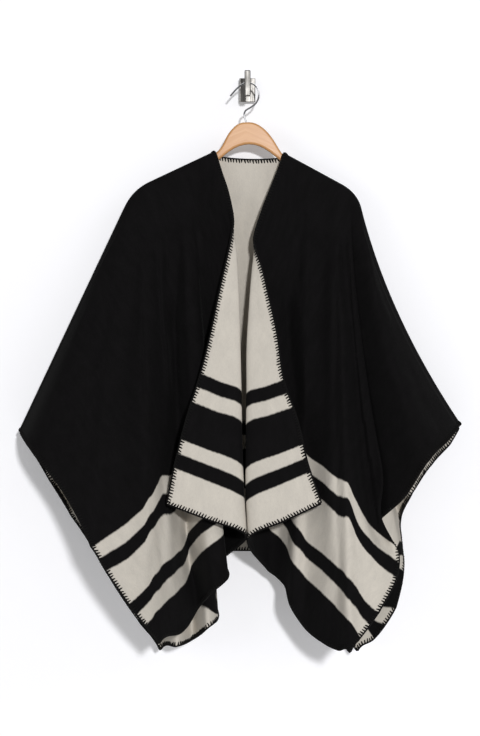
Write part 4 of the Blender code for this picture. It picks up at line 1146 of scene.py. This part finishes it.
def metal_material(name, colour, rough, brushed):
    m, t, b = new_material(name)
    co = node(t, "ShaderNodeTexCoord").outputs["Object"]
    scale = (1, 1, 1) if not brushed else (1.0, 1.0, 0.05)
    n = noise_node(t, mapping(t, co, scale=scale), 1400.0 if brushed else 90.0, 3.0, 0.6)
    smudge = noise_node(t, co, 55.0, 3.0, 0.6)
    dark = tuple(c * 0.86 for c in colour)
    base = mix_colour(t, map_range(t, n, 0.3, 0.7, 0, 1), dark, colour)
    if brushed:
        # wide streaks of the brushing, and the tarnish that gathers in them
        streak = noise_node(t, mapping(t, co, scale=(1.0, 0.4, 0.04)), 420.0, 2.0, 0.5)
        base = mix_colour(t, map_range(t, streak, 0.46, 0.62, 0, 0.75), base, tuple(c * 0.22 for c in colour))
    t.links.new(base, b.inputs["Base Color"])
    both = math_node(t, "ADD", math_node(t, "MULTIPLY", n, 0.6), math_node(t, "MULTIPLY", smudge, 0.4))
    t.links.new(map_range(t, both, 0.3, 0.7, rough * 0.75, rough * 1.35), b.inputs["Roughness"])
    b.inputs["Metallic"].default_value = 1.0
    bump = node(t, "ShaderNodeBump")
    bump.inputs["Strength"].default_value = 0.2 if brushed else 0.05
    bump.inputs["Distance"].default_value = 0.0001
    t.links.new(n, bump.inputs["Height"])
    t.links.new(bump.outputs["Normal"], b.inputs["Normal"])
    return m


WOOD = wood_material()
CHROME = metal_material("chrome_wire", (0.56, 0.56, 0.58), 0.16, False)
NICKEL = metal_material("brushed_nickel", (0.40, 0.385, 0.365), 0.46, True)
for name, mat in (("hanger_wood", WOOD), ("hanger_hook", CHROME), ("wall_plate", NICKEL),
                  ("wall_arm", NICKEL), ("wall_bar", NICKEL)):
    for s in NODES[name].material_slots:
        s.material = mat

# ------------------------------------------------------------------ studio
scene = bpy.context.scene
scene.view_settings.view_transform = "Standard"
scene.view_settings.look = "None"


def floor():
    me = bpy.data.meshes.new("studio_floor")
    n = 96
    verts = [(0, 0, 0)] + [(math.cos(2 * math.pi * k / n), math.sin(2 * math.pi * k / n), 0) for k in range(n)]
    me.from_pydata([(x * 2.6, y * 2.6, -1.55) for x, y, _ in verts], [],
                   [(0, 1 + k, 1 + (k + 1) % n) for k in range(n)])
    ob = bpy.data.objects.new("studio_floor", me)
    bpy.context.collection.objects.link(ob)
    m, t, b = new_material("studio_floor_pale")
    m.surface_render_method = "DITHERED"
    b.inputs["Base Color"].default_value = (0.90, 0.90, 0.90, 1)
    b.inputs["Roughness"].default_value = 0.8
    co = node(t, "ShaderNodeTexCoord").outputs["Object"]
    ln = node(t, "ShaderNodeVectorMath", operation="LENGTH")
    t.links.new(mapping(t, co, scale=(1, 1, 0)), ln.inputs[0])
    t.links.new(map_range(t, ln.outputs["Value"], 1.1, 2.5, 1, 0, True), b.inputs["Alpha"])
    me.materials.append(m)


def wall():
    """A white wall that only a camera in front of it sees; it holds the soft shadow."""
    me = bpy.data.meshes.new("studio_wall")
    n = 96
    ring = [(math.cos(2 * math.pi * k / n), math.sin(2 * math.pi * k / n)) for k in range(n)]
    me.from_pydata([(0, 0.012, -0.55)] + [(x * 1.9, 0.012, -0.55 + y * 1.9) for x, y in ring], [],
                   [(0, 1 + k, 1 + (k + 1) % n) for k in range(n)])
    ob = bpy.data.objects.new("studio_wall", me)
    bpy.context.collection.objects.link(ob)
    m, t, b = new_material("studio_wall_white")
    b.inputs["Base Color"].default_value = (0.92, 0.92, 0.95, 1)
    b.inputs["Roughness"].default_value = 1.0
    b.inputs["Specular IOR Level"].default_value = 0.0
    b.inputs["Emission Color"].default_value = (1.0, 1.0, 1.0, 1)
    b.inputs["Emission Strength"].default_value = WALL_GLOW
    co = node(t, "ShaderNodeTexCoord").outputs["Object"]
    away = node(t, "ShaderNodeVectorMath", operation="LENGTH")
    t.links.new(mapping(t, co, scale=(1, 0, 1), loc=(0, 0, 0.55)), away.inputs[0])
    shown = map_range(t, away.outputs["Value"], 1.2, 1.85, 1, 0, True)
    front = math_node(t, "SUBTRACT", 1.0, node(t, "ShaderNodeNewGeometry").outputs["Backfacing"])
    t.links.new(math_node(t, "MULTIPLY", shown, front), b.inputs["Alpha"])
    me.materials.append(m)
    for flag in ("visible_diffuse", "visible_glossy", "visible_transmission", "visible_shadow"):
        setattr(ob, flag, False)


WALL_GLOW = 0.145
floor()
wall()

world = bpy.data.worlds.new("studio")
scene.world = world
world.use_nodes = True
wt = world.node_tree
bg = wt.nodes["Background"]
bg.inputs["Color"].default_value = (1, 1, 1, 1)
path = wt.nodes.new("ShaderNodeLightPath")
level = wt.nodes.new("ShaderNodeMapRange")
level.inputs[3].default_value = 0.24
level.inputs[4].default_value = 1.0
wt.links.new(path.outputs["Is Camera Ray"], level.inputs[0])
wt.links.new(level.outputs[0], bg.inputs["Strength"])


def area(name, at, aim, size, energy, colour=(1, 1, 1)):
    li = bpy.data.lights.new(name, "AREA")
    li.shape = "RECTANGLE"
    li.size, li.size_y = size
    li.energy = energy
    li.color = colour
    ob = bpy.data.objects.new(name, li)
    bpy.context.collection.objects.link(ob)
    ob.location = at
    ob.rotation_euler = (Vector(aim) - Vector(at)).to_track_quat("-Z", "Y").to_euler()
    return ob


area("key", (1.08, -6.9, 0.7), (0.0, -0.1, -0.55), (0.4, 0.4), 300)
area("side", (2.2, -2.0, 0.9), (0.0, -0.1, -0.55), (1.5, 1.5), 9)
area("fill", (-2.6, -3.0, -0.2), (0.0, -0.1, -0.6), (1.6, 1.6), 12)
area("rim", (0.4, 1.8, 1.2), (0.0, 0.0, -0.5), (2.0, 1.0), 16)

cam = bpy.data.cameras.new("camera")
cam.sensor_fit = "VERTICAL"
cam.angle_y = 2 * math.atan(368 / 1560)
cam_ob = bpy.data.objects.new("camera", cam)
bpy.context.collection.objects.link(cam_ob)
cam_ob.location = (-0.0144, -3.045, -0.542)
cam_ob.rotation_euler = (math.radians(90), 0, 0)
scene.camera = cam_ob

for ob in (wrap_l, wrap_r, wrap_b, stitch_l, stitch_r, stitch_b):
    ob.data.calc_loop_triangles()
    print(ob.name, "triangles", len(ob.data.loop_triangles))
